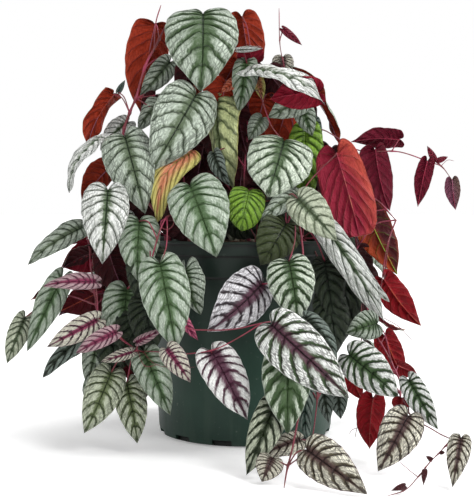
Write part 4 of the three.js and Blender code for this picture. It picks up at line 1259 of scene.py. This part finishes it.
# How strongly dust, scuffs and painted shade show on the pot, and the noises of clouds, streaks and
# scuffs.
DUST_SHARE = 0.08
SCUFF_SHARE = 0.25
HIGH_PAINTED_SHADE = 0.62
SHADE_BELOW_SHARE = 0.75
NOTCH_SHADE_SHARE = 0.92
CLOUD_WAVES = 14.0
STREAK_WAVES = 90.0
STREAK_STRETCH = 0.08
SCUFF_WAVES = 260.0

# Where clouds, dust and scuffs start and are full, the heights in metres between which dust thins
# out and the share that it loses, and the pot's roughness with what pores and dust add to it.
CLOUDS = (0.3, 0.7)
DUSTY = (0.5, 0.75)
DUST_THINS = (0.04, 0.2)
DUST_LOSS = 0.6
SCUFFS = (0.66, 0.72)
SCUFF_RELIEF = 0.4
POT_ROUGH = 0.46
PORE_ROUGH = 0.12
DUST_ROUGH = 0.15


def pot_finish(colours, sizes):
    """Moulded dark green plastic, dusty low down, with painted shade high up under the leaves, under
    its bands and in its notches.
    """
    finish = Finish("pot_plastic")
    height = finish.part(finish.here, "Z")
    pores = finish.noise(GRAIN_WAVES, 4.0)
    clouds = finish.noise(CLOUD_WAVES)
    streaks = finish.noise(STREAK_WAVES, 3.0, finish.scaled(1.0, STREAK_STRETCH))
    colour = finish.mix(clouds.rising(*CLOUDS), ink(colours.pot), ink(colours.pot_light))
    dust = streaks.rising(*DUSTY) * (1 - height.rising(*DUST_THINS) * DUST_LOSS)
    colour = finish.mix(dust * DUST_SHARE, colour, ink(colours.dust))
    scuffs = finish.noise(SCUFF_WAVES, 6.0).rising(*SCUFFS)
    colour = finish.mix(scuffs * SCUFF_SHARE, colour, ink(colours.dust))
    # Painted shade: darker high up where the leaves overhang, a dark line under each band that fades
    # downwards, and dark drain notches.
    painted_shade = height.rising(*PAINTED_SHADE_HEIGHTS) * HIGH_PAINTED_SHADE
    for depth in (sizes.lip_depth, sizes.rim_depth, sizes.band_depth):
        below = (sizes.height - depth) - height
        crease_shade = below.rising(-CREASE_SOFT, CREASE_SOFT) * (1 - below.rising(*CREASE_FADE))
        shade_below = below.rising(0.0, SHADE_BELOW_START) * (1 - below.rising(*SHADE_BELOW_FADE)) * SHADE_BELOW_SHARE
        painted_shade = painted_shade.most(crease_shade).most(shade_below)
    level = {0: finish.scaled(1.0, 0.0)}
    reach = finish.node("ShaderNodeVectorMath", {"operation": "LENGTH"}, level, "Value")
    notch = 1 - height.rising(sizes.notch_height, sizes.notch_height + NOTCH_SOFT)
    inner, outer = (sizes.base - step for step in NOTCH_REACH)
    notch = notch * (1 - reach.rising(inner, outer))
    colour = finish.mix(painted_shade.most(notch * NOTCH_SHADE_SHARE), colour, ink(colours.pot_shade))
    rough = POT_ROUGH + (pores - 0.5) * PORE_ROUGH + dust * DUST_ROUGH
    relief = pores + scuffs * SCUFF_RELIEF
    return finish.close(colour, rough, relief, 0.12 * MILLIMETRE, Specular_IOR_Level=0.28)


# The mix: noises of crumbs, fibres and wet patches, where fibres and patches start and are full, how
# strongly patches show, the heights in metres over which its painted shade low in the pot fades out,
# and its roughness.
CRUMB_WAVES = 260.0
FIBRE_WAVES = 520.0
WET_WAVES = 60.0
FIBRES = (0.35, 0.7)
WET_PATCHES = (0.4, 0.7)
WET_SHARE = 0.5
LOW_SHADE_FADE = (0.006, 0.05)
MIX_ROUGH = 0.9
MIX_ROUGH_GRAIN = 0.15


def mix_finish(colours):
    """Damp potting mix: dark crumbs with lighter fibres, turning near black low down as painted shade.
    """
    finish = Finish("potting_mix")
    sockets = {"Vector": finish.here, "Scale": CRUMB_WAVES}
    crumbs = finish.node("ShaderNodeTexVoronoi", {}, sockets)
    grain = finish.noise(FIBRE_WAVES, 5.0)
    patches = finish.noise(WET_WAVES)
    colour = finish.mix(grain.rising(*FIBRES), ink(colours.mix), ink(colours.mix_light))
    colour = finish.mix(patches.rising(*WET_PATCHES) * WET_SHARE, colour, ink(colours.mix))
    height = finish.part(finish.here, "Z")
    # Painted shade: the mix is near black at the bottom, where the drain notches show it.
    colour = finish.mix(height.rising(*LOW_SHADE_FADE), ink(colours.mix_damp), colour)
    rough = MIX_ROUGH + (grain - 0.5) * MIX_ROUGH_GRAIN
    return finish.close(colour, rough, grain + crumbs, 2 * MILLIMETRE)


# The floor: how much darker its tooth is, and how strongly it glows, a painted light that lifts the
# shadows on it.
FLOOR_TOOTH = 0.985
FLOOR_PAINTED_GLOW = 0.26


def floor_finish(colours):
    """Plain pale paper with the faintest tooth, and a painted glow from within that lifts its shadows.
    """
    finish = Finish("studio_floor")
    tooth = finish.noise(40.0, 2.0)
    pale = tuple(FLOOR_TOOTH * part for part in colours.floor)
    colour = finish.mix(tooth.rising(0.3, 0.7), ink(colours.floor), ink(pale))
    return finish.close(
        colour, 0.95 + (tooth - 0.5) * 0.05, tooth, 0.2 * MILLIMETRE,
        Emission_Color=ink(colours.floor), Emission_Strength=FLOOR_PAINTED_GLOW)


def made_once(name, build, *values):
    """The material of that name, made now if nothing has made it before."""
    return bpy.data.materials.get(name) or build(name, *values)


def shared_materials():
    """Every finish of the vines, found by its part of a leaf and its look."""
    colours = bpy.context.scene.vine_colours
    sizes = bpy.context.scene.vine_leaves
    shade = colours.stem_wine
    made = {"stem": made_once(
        "stem_rose", stem_finish, colours.stem_rose, colours.stem_green, shade)}
    for name, look in TOPS.items():
        made["top_" + name] = made_once("leaf_top_" + name, leaf_top, look, colours, sizes)
    for name, look in UNDERSIDES.items():
        made["under_" + name] = made_once(
            "leaf_under_" + name, leaf_underside, look, colours, sizes)
        side, rib = getattr(colours, look[0]), getattr(colours, look[4])
        made["rib_" + name] = made_once("leaf_rib_" + name, stem_finish, rib, side, shade)
    return made


# Sizes and colours that a user would change

def length_property(name, description, millimetres):
    """A length that is listed in millimetres and kept in metres."""
    return bpy.props.FloatProperty(
        name=name, description=description, default=millimetres * MILLIMETRE,
        min=0, subtype="DISTANCE", unit="LENGTH", precision=4,
    )


def share_property(name, description, share):
    """A share of some length, from 0 to 1."""
    return bpy.props.FloatProperty(
        name=name, description=description, default=share, min=0, max=1, subtype="FACTOR",
    )


def colour_property(name, description, *parts):
    """A colour that is listed as a screen shows it and kept as light adds up."""
    linear = tuple(
        part / 255 / 12.92 if part <= 10 else ((part / 255 + 0.055) / 1.055) ** 2.4
        for part in parts
    )
    return bpy.props.FloatVectorProperty(
        name=name.replace("_", " ").capitalize(), description=description, default=linear,
        size=3, min=0, max=1, subtype="COLOR",
    )


class VinePot(bpy.types.PropertyGroup):
    """Sizes of the nursery pot and its filling."""

    height: length_property("Height", "Height of the pot", 211)
    lip: length_property("Lip radius", "Outside radius of the lip", 109)
    rim: length_property("Rim radius", "Outside radius of the band at the rim", 107.6)
    band: length_property("Band radius", "Outside radius of the second band", 106)
    wall_top: length_property("Wall radius", "Outside radius of the wall under the bands", 104.4)
    base: length_property("Base radius", "Outside radius of the wall above the foot", 94)
    floor: length_property("Floor radius", "Radius of the flat underside", 86)
    wall: length_property("Wall thickness", "Thickness of the moulded wall", 2.4)
    lip_depth: length_property("Lip depth", "Height of the lip", 2.6)
    rim_depth: length_property("Rim band depth", "Height from the top to the first step", 14)
    band_depth: length_property("Second band depth", "Height from the top to the second step", 36)
    notch_width: length_property("Notch width", "Width of a drain notch at the foot", 21)
    notch_height: length_property("Notch height", "Height of a drain notch", 7)
    notch_depth: length_property("Notch depth", "How far a drain notch cuts in", 14)
    mix_edge: length_property("Mix at the wall", "Height of the potting mix at the wall", 198)
    mix_crown: length_property("Mix in the middle", "Height of the mix in the middle", 208)
    mix_bump: length_property("Mix bumps", "Height of the bumps of the mix", 1.6)


class VineLeaves(bpy.types.PropertyGroup):
    """Sizes shared by every leaf and stalk."""

    thickness: length_property("Thickness", "Thickness of a leaf at its midrib", 0.7)
    stalk: length_property("Stalk", "Width of a leaf stalk", 1.6)
    vein_depth: length_property("Vein depth", "Depth of the finest veins", 2.1)
    tooth: share_property("Teeth", "Size of the teeth as a share of the half width", 0.03)
    ripple: share_property("Ripple", "Slow waves as a share of the leaf length", 0.024)
    flutter: share_property("Flutter", "Quick margin waves as a share of the length", 0.008)
    quilt: share_property("Quilting", "Swelling between veins as a share of the length", 0.046)
    rows: bpy.props.IntProperty(
        name="Rows", description="Steps from the notch to the tip", default=56, min=8, max=96)
    columns: bpy.props.IntProperty(
        name="Columns", description="Steps from midrib to margin", default=7, min=2, max=16)


# What each colour is for and its red, green and blue out of 255.
PALETTE = {
    "silver": ("Silver patches", 198, 210, 194),
    "frost": ("Whitest patches", 252, 254, 250),
    "celery": ("Pale green patches", 216, 224, 198),
    "straw": ("Yellow-green patches", 202, 210, 150),
    "deep_olive": ("Leaves in the shade of the others", 44, 56, 12),
    "mint": ("Green-white patches of fresh leaves", 226, 238, 218),
    "slate": ("Dull silver of old leaves", 140, 156, 146),
    "cream": ("Cream patches", 254, 250, 230),
    "pearl": ("Cool patches of purple leaves", 240, 238, 242),
    "dusk": ("Purple-grey webs", 62, 54, 60),
    "petal": ("Pink-white patches of young leaves", 230, 196, 200),
    "sage": ("Grey-green webs", 84, 100, 72),
    "leaf": ("Plain green webs", 64, 88, 50),
    "meadow": ("Light green webs", 82, 112, 70),
    "fern": ("Green webs", 56, 82, 42),
    "bottle": ("Dark green webs and veins", 32, 46, 28),
    "night": ("Darkest veins", 22, 30, 26),
    "teal": ("Blue-green of old leaves", 52, 78, 66),
    "moss": ("Olive webs", 94, 108, 68),
    "shadow_green": ("Dark olive veins", 36, 50, 22),
    "lime": ("Fresh yellow-green", 134, 176, 50),
    "deep_lime": ("Veins of fresh leaves", 74, 108, 26),
    "lemon": ("Yellow of fading leaves", 214, 206, 118),
    "salmon": ("Salmon of fading leaves", 214, 122, 98),
    "plum": ("Purple heart of the middle leaves", 84, 42, 62),
    "aubergine": ("Dark purple-brown veins", 46, 30, 34),
    "mauve": ("Purple-pink webs of young leaves", 132, 76, 98),
    "magenta": ("Hot pink hearts", 142, 44, 84),
    "blush": ("Pink of the youngest leaves", 214, 110, 140),
    "taupe": ("Brown-green webs", 96, 88, 66),
    "umber": ("Brown-purple hearts", 74, 46, 46),
    "maroon": ("Dark red undersides", 70, 12, 20),
    "wine": ("Deep red undersides", 98, 12, 26),
    "crimson": ("Bright red undersides", 152, 30, 60),
    "ruby": ("Bright red undersides low down", 150, 10, 24),
    "garnet": ("Purple-red undersides at the left", 150, 16, 44),
    "claret": ("Red-purple young leaves", 120, 12, 44),
    "cerise": ("Pink-red underside", 150, 32, 56),
    "coral": ("Orange-pink underside", 200, 86, 62),
    "ember": ("Orange-red undersides", 186, 74, 34),
    "brick": ("Orange-brown undersides", 160, 48, 20),
    "rust": ("Brown-red undersides", 126, 38, 18),
    "stem_rose": ("Pink of the climbing stems", 140, 44, 70),
    # Also the painted shade that stems and ribs take on low down.
    "stem_wine": ("Dark red of the floor stems", 92, 16, 30),
    "stem_green": ("Brown-red of older stems", 104, 48, 50),
    "pot": ("Green of the pot", 20, 46, 36),
    # Painted shade on the pot: under the bands, in the notches and high up under the leaves.
    "pot_shade": ("Grime under the bands and in the notches", 12, 14, 11),
    "pot_light": ("Worn green of the pot", 30, 58, 46),
    "dust": ("Dust and water marks on the pot", 110, 118, 108),
    "mix": ("Dark crumbs of the potting mix", 40, 28, 20),
    # Painted shade of the mix low in the pot, seen through the drain notches.
    "mix_damp": ("Wet mix low in the pot", 10, 9, 8),
    "mix_light": ("Light fibres of the potting mix", 112, 82, 56),
    "floor": ("Studio floor", 248, 248, 248),
}


class VineColours(bpy.types.PropertyGroup):
    """Colours of leaves, stems, pot, mix and floor."""

    __annotations__ = {
        name: colour_property(name, use, *parts) for name, (use, *parts) in PALETTE.items()
    }


class VineStudio(bpy.types.PropertyGroup):
    """Floor and lights."""

    floor_radius: length_property("Floor radius", "Radius of the studio floor", 14000)
    surround: bpy.props.FloatProperty(
        name="Surround", description="Strength of the light from all round", default=0.51, min=0)
    overhead: bpy.props.FloatProperty(
        name="Overhead", description="Strength of the broad light from above", default=2.5, min=0)
    key: bpy.props.FloatProperty(
        name="Key light", description="Strength of the soft light in front", default=16.5,
        min=0, subtype="POWER", unit="POWER")
    fill: bpy.props.FloatProperty(
        name="Fill light", description="Strength of the light from the left", default=4.5,
        min=0, subtype="POWER", unit="POWER")


# Pot and potting mix

# The pot, in millimetres and degrees: the thickness of its floor, the height of the slope at its foot
# and the rounding of its corners; then how finely it is turned, and its notches and sharp edges.
POT_FLOOR = 3
POT_SLOPE = 9
POT_ROUNDING = 0.8
ARC_STEPS = 3
POT_SIDES = 180
NOTCHES = 12
FIRST_NOTCH = 15
NOTCH_ROUNDING = 1.4
SHARP_EDGE = 38

# The mix: its gap to the wall in millimetres, its sides and rings, the height of its crumbs and the
# radius from which they have it in full.
MIX_GAP = 0.3
MIX_SIDES = 120
MIX_RINGS = 34
MIX_CRUMBS = 2.4
MIX_FULL = 30

# Bark chips: how many, how far from the wall, how high above the mix, their least half length and how
# much longer chance makes it, and how thick a chip is from end to end as a share of that.
CHIPS = 260
CHIP_MARGIN = 6
CHIP_RISE = 0.6
CHIP_LEAST = 1.4
CHIP_MORE = 3
CHIP_SHAPE = (0.5, 1, 1.1, 0.9, 0.45)
CHIP_SIDES = 6

# Seeds from which chance starts.
MIX_SEED = 71
CHIP_LEVEL_SEED = 5
FRONT_SEED = 11
BACK_SEED = 41


def softened(profile, radius):
    """A profile with its corners turned into short arcs."""
    found = []
    for index, (x, z) in enumerate(profile):
        corner = Vector((x, z))
        if index in (0, len(profile) - 1):
            found.append(corner)
            continue
        before = Vector(profile[index - 1]) - corner
        after = Vector(profile[index + 1]) - corner
        cut = min(radius, before.length / 2.2, after.length / 2.2)
        enter = corner + before.normalized() * cut
        leave = corner + after.normalized() * cut
        for step in range(ARC_STEPS + 1):
            t = step / ARC_STEPS
            found.append(enter * (1 - t) ** 2 + corner * 2 * t * (1 - t) + leave * t * t)
    return found


def ring_points(radius, height, sides):
    """Points evenly spaced round the upright axis."""
    turns = [math.tau * side / sides for side in range(sides)]
    return [Vector((radius * math.cos(turn), radius * math.sin(turn), height)) for turn in turns]


def turned(name, profile, sides):
    """A closed solid turned round the upright axis."""
    points = [Vector((0, 0, profile[0].y))]
    rings = profile[1:-1]
    for radius, height in rings:
        points += ring_points(radius, height, sides)
    points.append(Vector((0, 0, profile[-1].y)))
    faces = []
    for side in range(sides):
        ahead = (side + 1) % sides
        faces.append((0, 1 + ahead, 1 + side))
        for ring in range(len(rings) - 1):
            a = 1 + ring * sides
            faces.append((a + side, a + ahead, a + sides + ahead, a + sides + side))
        top = 1 + (len(rings) - 1) * sides
        faces.append((top + side, top + ahead, len(points) - 1))
    mesh = bpy.data.meshes.new(name)
    mesh.from_pydata(points, [], faces)
    mesh.update()
    made = bpy.data.objects.new(name, mesh)
    bpy.context.scene.collection.objects.link(made)
    return made


def pot_profile(pot):
    """The pot's section: up its outside, over the lip and down its inside."""
    step = pot.rim - pot.band
    inner = pot.height - pot.band_depth
    slope = POT_SLOPE * MILLIMETRE
    outside = [
        (0, 0),
        (pot.floor - 6 * MILLIMETRE, 0),
        (pot.floor, 0),
        (pot.base - 1.6 * MILLIMETRE, 2 * MILLIMETRE),
        (pot.base, slope),
        (pot.wall_top, inner - step),
        (pot.band, inner),
        (pot.band, pot.height - pot.rim_depth - step),
        (pot.rim, pot.height - pot.rim_depth),
        (pot.rim, pot.height - pot.lip_depth),
        (pot.lip, pot.height - pot.lip_depth + MILLIMETRE),
        (pot.lip, pot.height),
    ]
    inside = [
        (pot.rim - pot.wall, pot.height),
        (pot.wall_top - pot.wall, inner - step),
        (pot.base - pot.wall, slope),
        (pot.floor, POT_FLOOR * MILLIMETRE),
        (0, POT_FLOOR * MILLIMETRE),
    ]
    return softened(outside + inside, POT_ROUNDING * MILLIMETRE)


def notch_block(pot, turn):
    """The rounded block that one drain notch is cut with."""
    half, high, deep = pot.notch_width / 2, pot.notch_height, pot.notch_depth / 2
    corners = [(-half, -high), (half, -high), (half, high), (-half, high), (-half, -high)]
    outline = softened(corners, NOTCH_ROUNDING * MILLIMETRE)[1:]
    spin = Matrix.Rotation(math.radians(turn), 3, "Z")
    points = [
        spin @ Vector((x, pot.base + side * deep, z)) for side in (-1, 1) for x, z in outline
    ]
    count = len(outline)
    faces = [tuple(range(count)), tuple(reversed(range(count, 2 * count)))]
    for a in range(count):
        b = (a + 1) % count
        faces.append((b, a, a + count, b + count))
    return points, faces


class VINE_OT_pot(bpy.types.Operator):
    """Make the banded nursery pot with its drain notches"""

    bl_idname = "begonia_vine.pot"
    bl_label = "Pot"

    def execute(self, context):
        sizes = context.scene.vine_pot
        pot = turned("pot_body", pot_profile(sizes), POT_SIDES)
        points, faces = [], []
        for notch in range(NOTCHES):
            block_points, block_faces = notch_block(sizes, FIRST_NOTCH + 360 / NOTCHES * notch)
            faces += [tuple(len(points) + corner for corner in face) for face in block_faces]
            points += block_points
        mesh = bpy.data.meshes.new("notches")
        mesh.from_pydata(points, [], faces)
        cutter = bpy.data.objects.new("notches", mesh)
        context.scene.collection.objects.link(cutter)
        cut = pot.modifiers.new("notches", "BOOLEAN")
        cut.operation = "DIFFERENCE"
        cut.solver = "EXACT"
        cut.object = cutter
        context.view_layer.update()
        carved = bpy.data.meshes.new_from_object(
            pot.evaluated_get(context.evaluated_depsgraph_get()))
        pot.modifiers.clear()
        pot.data = carved
        bpy.data.objects.remove(cutter)
        carved.materials.clear()
        carved.materials.append(pot_finish(context.scene.vine_colours, sizes))
        carved.polygons.foreach_set("use_smooth", [True] * len(carved.polygons))
        carved.set_sharp_from_angle(angle=math.radians(SHARP_EDGE))
        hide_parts("pot")
        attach(pot, "root")
        return {"FINISHED"}


def mix_height(sizes, radius, turn, luck):
    """Height of the potting mix in millimetres: a low mound with bumps and crumbs."""
    edge, crown = sizes.mix_edge / MILLIMETRE, sizes.mix_crown / MILLIMETRE
    mound = math.cos(math.pi / 2 * min(1, radius * MILLIMETRE / sizes.rim))
    bumps = math.sin(3 * turn + radius / 9) * math.cos(5 * turn - radius / 14)
    inward = min(1, radius / MIX_FULL)
    crumbs = (next(luck) - 0.5) * MIX_CRUMBS * inward
    return edge + (crown - edge) * mound + sizes.mix_bump / MILLIMETRE * bumps * inward + crumbs


class VINE_OT_potting_mix(bpy.types.Operator):
    """Make the crumbly potting mix and the bark chips lying in it"""

    bl_idname = "begonia_vine.potting_mix"
    bl_label = "Potting mix"

    def execute(self, context):
        sizes = context.scene.vine_pot
        luck = chances(MIX_SEED)
        step = sizes.rim - sizes.band
        inner = sizes.height - sizes.band_depth
        gap = MIX_GAP * MILLIMETRE
        bottom = POT_FLOOR * MILLIMETRE
        slope = (sizes.rim - sizes.wall_top) / (sizes.band_depth + step)
        edge = sizes.wall_top - sizes.wall - gap + slope * (sizes.mix_edge - inner)
        profile = [
            Vector((0, bottom)),
            Vector((sizes.floor - gap, bottom)),
            Vector((sizes.base - sizes.wall - 0.5 * MILLIMETRE, POT_SLOPE * MILLIMETRE)),
            Vector((sizes.wall_top - sizes.wall - gap, inner)),
        ]
        for ring in range(MIX_RINGS, -1, -1):
            profile.append(Vector((edge * ring / MIX_RINGS, sizes.mix_edge)))
        mix = turned("potting_mix_body", profile, MIX_SIDES)
        for vertex in mix.data.vertices:
            place = vertex.co
            if place.z > inner + MILLIMETRE:
                radius = math.hypot(place.x, place.y) / MILLIMETRE
                turn = math.atan2(place.y, place.x)
                place.z = mix_height(sizes, radius, turn, luck) * MILLIMETRE
        mix.data.materials.append(mix_finish(context.scene.vine_colours))
        mix.data.polygons.foreach_set("use_smooth", [True] * len(mix.data.polygons))
        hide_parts("potting_mix")
        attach(mix, "root")
        self.lay_chips(context, sizes, edge, luck)
        return {"FINISHED"}

    def lay_chips(self, context, sizes, edge, luck):
        """Bark chips and grit lying half sunk in the mix."""
        chips = Piece("potting_mix_chips")
        for _ in range(CHIPS):
            radius = (edge / MILLIMETRE - CHIP_MARGIN) * next(luck) ** 0.5
            turn = math.tau * next(luck)
            level = mix_height(sizes, radius, turn, chances(CHIP_LEVEL_SEED)) + CHIP_RISE
            middle = Vector((radius * math.cos(turn), radius * math.sin(turn), level))
            long = Vector((math.cos(turn * 7), math.sin(turn * 7), 0.3 * (next(luck) - 0.5)))
            size = CHIP_LEAST + CHIP_MORE * next(luck) ** 2
            curve = [middle + long.normalized() * size * (s / 4 - 0.5) * 2 for s in range(5)]
            radii = [size * thick * (0.3 + 0.3 * next(luck)) for thick in CHIP_SHAPE]
            tube(chips, curve, radii, "chips", (next(luck), 0, 0, 1), CHIP_SIDES)
        made = chips.build({"chips": chip_finish(context.scene.vine_colours)})
        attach(made, "root")


def chip_finish(colours):
    """Weathered bark."""
    finish = Finish("bark_chips")
    tint = finish.node("ShaderNodeAttribute", {"attribute_name": "tint"}, {}, "Color")
    pale = finish.node("ShaderNodeSeparateColor", {}, {0: tint}, "Red")
    grain = finish.noise(600.0, 5.0)
    colour = finish.mix(grain.rising(0.3, 0.7), ink(colours.mix), ink(colours.mix_light))
    colour = finish.mix(pale ** 3 * 0.5, colour, ink(colours.cream))
    return finish.close(colour, 0.85 + (grain - 0.5) * 0.2, grain, MILLIMETRE)


# Vines

def dress(vines, placed, leaf_row, first_seed):
    """Grow each listed vine as one piece that stands for its solid."""
    materials = shared_materials()
    sizes = bpy.context.scene.vine_leaves
    for order, vine in enumerate(vines):
        name = vine["name"]
        piece = grow(name + "_leafy", vine, placed, leaf_row, sizes, first_seed + order)
        made = piece.build(materials)
        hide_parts(name)
        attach(made, "root")
        "red_leaf" if name in RED_VINES else "leaf"


class VINE_OT_front_vines(bpy.types.Operator):
    """Grow the vines that the picture shows: climbing at the crown, arching and trailing"""

    bl_idname = "begonia_vine.front_vines"
    bl_label = "Front vines"

    def execute(self, context):
        dress(SEEN_VINES, seen, seen_leaf, FRONT_SEED)
        return {"FINISHED"}


class VINE_OT_back_vines(bpy.types.Operator):
    """Grow the vines at the sides and back that hang over the rim"""

    bl_idname = "begonia_vine.back_vines"
    bl_label = "Side and back vines"

    def execute(self, context):
        dress(HIDDEN_VINES, Vector, hidden_leaf, BACK_SEED)
        return {"FINISHED"}


# Studio

# The floor's rings and sides, where the broad light comes from and how many degrees it spreads, and
# for each panel of light its place and size in metres. Both panels face the middle of the plant.
FLOOR_RINGS = 12
FLOOR_SIDES = 96
OVERHEAD_FROM = (0.5, 0.2, 1)
OVERHEAD_SPREAD = 55
KEY_PLACE = (1.0, -1.2, 1.3)
KEY_SIZE = 0.6
FILL_PLACE = (-1.6, -0.9, 0.9)
FILL_SIZE = 1.0
PLANT_MIDDLE = (0, 0, 0.25)


def area_light(name, place, size, power):
    """A square panel of light that faces the plant."""
    light = bpy.data.lights.new(name, "AREA")
    light.shape = "SQUARE"
    light.size = size
    light.energy = power
    made = bpy.data.objects.new(name, light)
    made.location = place
    facing = Vector(PLANT_MIDDLE) - Vector(place)
    made.rotation_euler = facing.to_track_quat("-Z", "Y").to_euler()
    bpy.context.scene.collection.objects.link(made)


class VINE_OT_studio(bpy.types.Operator):
    """Set out the pale floor, the soft lights and the camera at the picture's angle"""

    bl_idname = "begonia_vine.studio"
    bl_label = "Studio"

    def execute(self, context):
        studio = context.scene.vine_studio
        points = [Vector((0, 0, 0))]
        faces = []
        for ring in range(1, FLOOR_RINGS + 1):
            radius = studio.floor_radius * (ring / FLOOR_RINGS) ** 2
            points += ring_points(radius, 0, FLOOR_SIDES)
        for side in range(FLOOR_SIDES):
            ahead = (side + 1) % FLOOR_SIDES
            faces.append((0, 1 + side, 1 + ahead))
            for ring in range(FLOOR_RINGS - 1):
                a = 1 + ring * FLOOR_SIDES
                b = a + FLOOR_SIDES
                faces.append((a + side, b + side, b + ahead, a + ahead))
        mesh = bpy.data.meshes.new("studio_floor")
        mesh.from_pydata(points, [], faces)
        mesh.materials.append(floor_finish(context.scene.vine_colours))
        floor = bpy.data.objects.new("studio_floor", mesh)
        context.scene.collection.objects.link(floor)
        self.lights(context, studio)
        self.camera(context)
        return {"FINISHED"}

    def lights(self, context, studio):
        """Light from all round with white behind it, broad light from above and two soft panels."""
        world = bpy.data.worlds.new("studio")
        world.use_nodes = True
        nodes, links = world.node_tree.nodes, world.node_tree.links
        soft = nodes["Background"]
        soft.inputs["Color"].default_value = ink((1, 1, 1))
        soft.inputs["Strength"].default_value = studio.surround
        backdrop = nodes.new("ShaderNodeBackground")
        backdrop.inputs["Color"].default_value = ink((1, 1, 1))
        rays = nodes.new("ShaderNodeLightPath")
        choice = nodes.new("ShaderNodeMixShader")
        links.new(rays.outputs["Is Camera Ray"], choice.inputs[0])
        links.new(soft.outputs[0], choice.inputs[1])
        links.new(backdrop.outputs[0], choice.inputs[2])
        links.new(choice.outputs[0], nodes["World Output"].inputs["Surface"])
        context.scene.world = world
        sky = bpy.data.lights.new("overhead", "SUN")
        sky.energy = studio.overhead
        sky.angle = math.radians(OVERHEAD_SPREAD)
        above = bpy.data.objects.new("overhead", sky)
        above.rotation_euler = Vector(OVERHEAD_FROM).to_track_quat("Z", "Y").to_euler()
        context.scene.collection.objects.link(above)
        area_light("key", KEY_PLACE, KEY_SIZE, studio.key)
        area_light("fill", FILL_PLACE, FILL_SIZE, studio.fill)
        context.scene.view_settings.view_transform = "Standard"

    def camera(self, context):
        """The eye that sees the plant as the picture does, level and shifted to its middle."""
        lens = bpy.data.cameras.new("picture")
        lens.sensor_width = SENSOR
        lens.lens = SENSOR * PIXEL_FOCUS / PICTURE_HEIGHT
        lens.shift_x = (PICTURE_WIDTH / 2 - AXIS_COLUMN) / PICTURE_HEIGHT
        lens.shift_y = (HORIZON_ROW - PICTURE_HEIGHT / 2) / PICTURE_HEIGHT
        lens.clip_end = FARTHEST_SEEN
        camera = bpy.data.objects.new("picture", lens)
        camera.location = (0, -EYE_DISTANCE * MILLIMETRE, EYE_HEIGHT * MILLIMETRE)
        camera.rotation_euler = (math.pi / 2, 0, 0)
        context.scene.collection.objects.link(camera)
        context.scene.camera = camera


class VINE_PT_sidebar(bpy.types.Panel):
    """Lists every step of the plant with its sizes and colours"""

    bl_idname = "VINE_PT_sidebar"
    bl_label = "Potted Rex Begonia Vine"
    bl_space_type = "VIEW_3D"
    bl_region_type = "UI"
    bl_category = "Begonia Vine"

    def draw(self, context):
        for step in STEPS:
            self.layout.operator(step.bl_idname)
        for group in (name for name, _ in GROUPS):
            box = self.layout.box()
            settings = getattr(context.scene, group)
            for key in settings.bl_rna.properties.keys():
                if key not in ("rna_type", "name"):
                    box.prop(settings, key)


STEPS = (
    VINE_OT_studio,
    VINE_OT_pot,
    VINE_OT_potting_mix,
    VINE_OT_front_vines,
    VINE_OT_back_vines,
)
GROUPS = (
    ("vine_pot", VinePot),
    ("vine_leaves", VineLeaves),
    ("vine_colours", VineColours),
    ("vine_studio", VineStudio),
)


def register():
    for name, group in GROUPS:
        bpy.utils.register_class(group)
        setattr(bpy.types.Scene, name, bpy.props.PointerProperty(type=group))
    for listed in (*STEPS, VINE_PT_sidebar):
        bpy.utils.register_class(listed)


def unregister():
    for listed in reversed((*STEPS, VINE_PT_sidebar)):
        bpy.utils.unregister_class(listed)
    for name, group in reversed(GROUPS):
        delattr(bpy.types.Scene, name)
        bpy.utils.unregister_class(group)


def main():
    register()
    bpy.ops.begonia_vine.studio()
    bpy.ops.begonia_vine.pot()
    bpy.ops.begonia_vine.potting_mix()
    bpy.ops.begonia_vine.front_vines()
    bpy.ops.begonia_vine.back_vines()


if __name__ == "__main__":
    main()
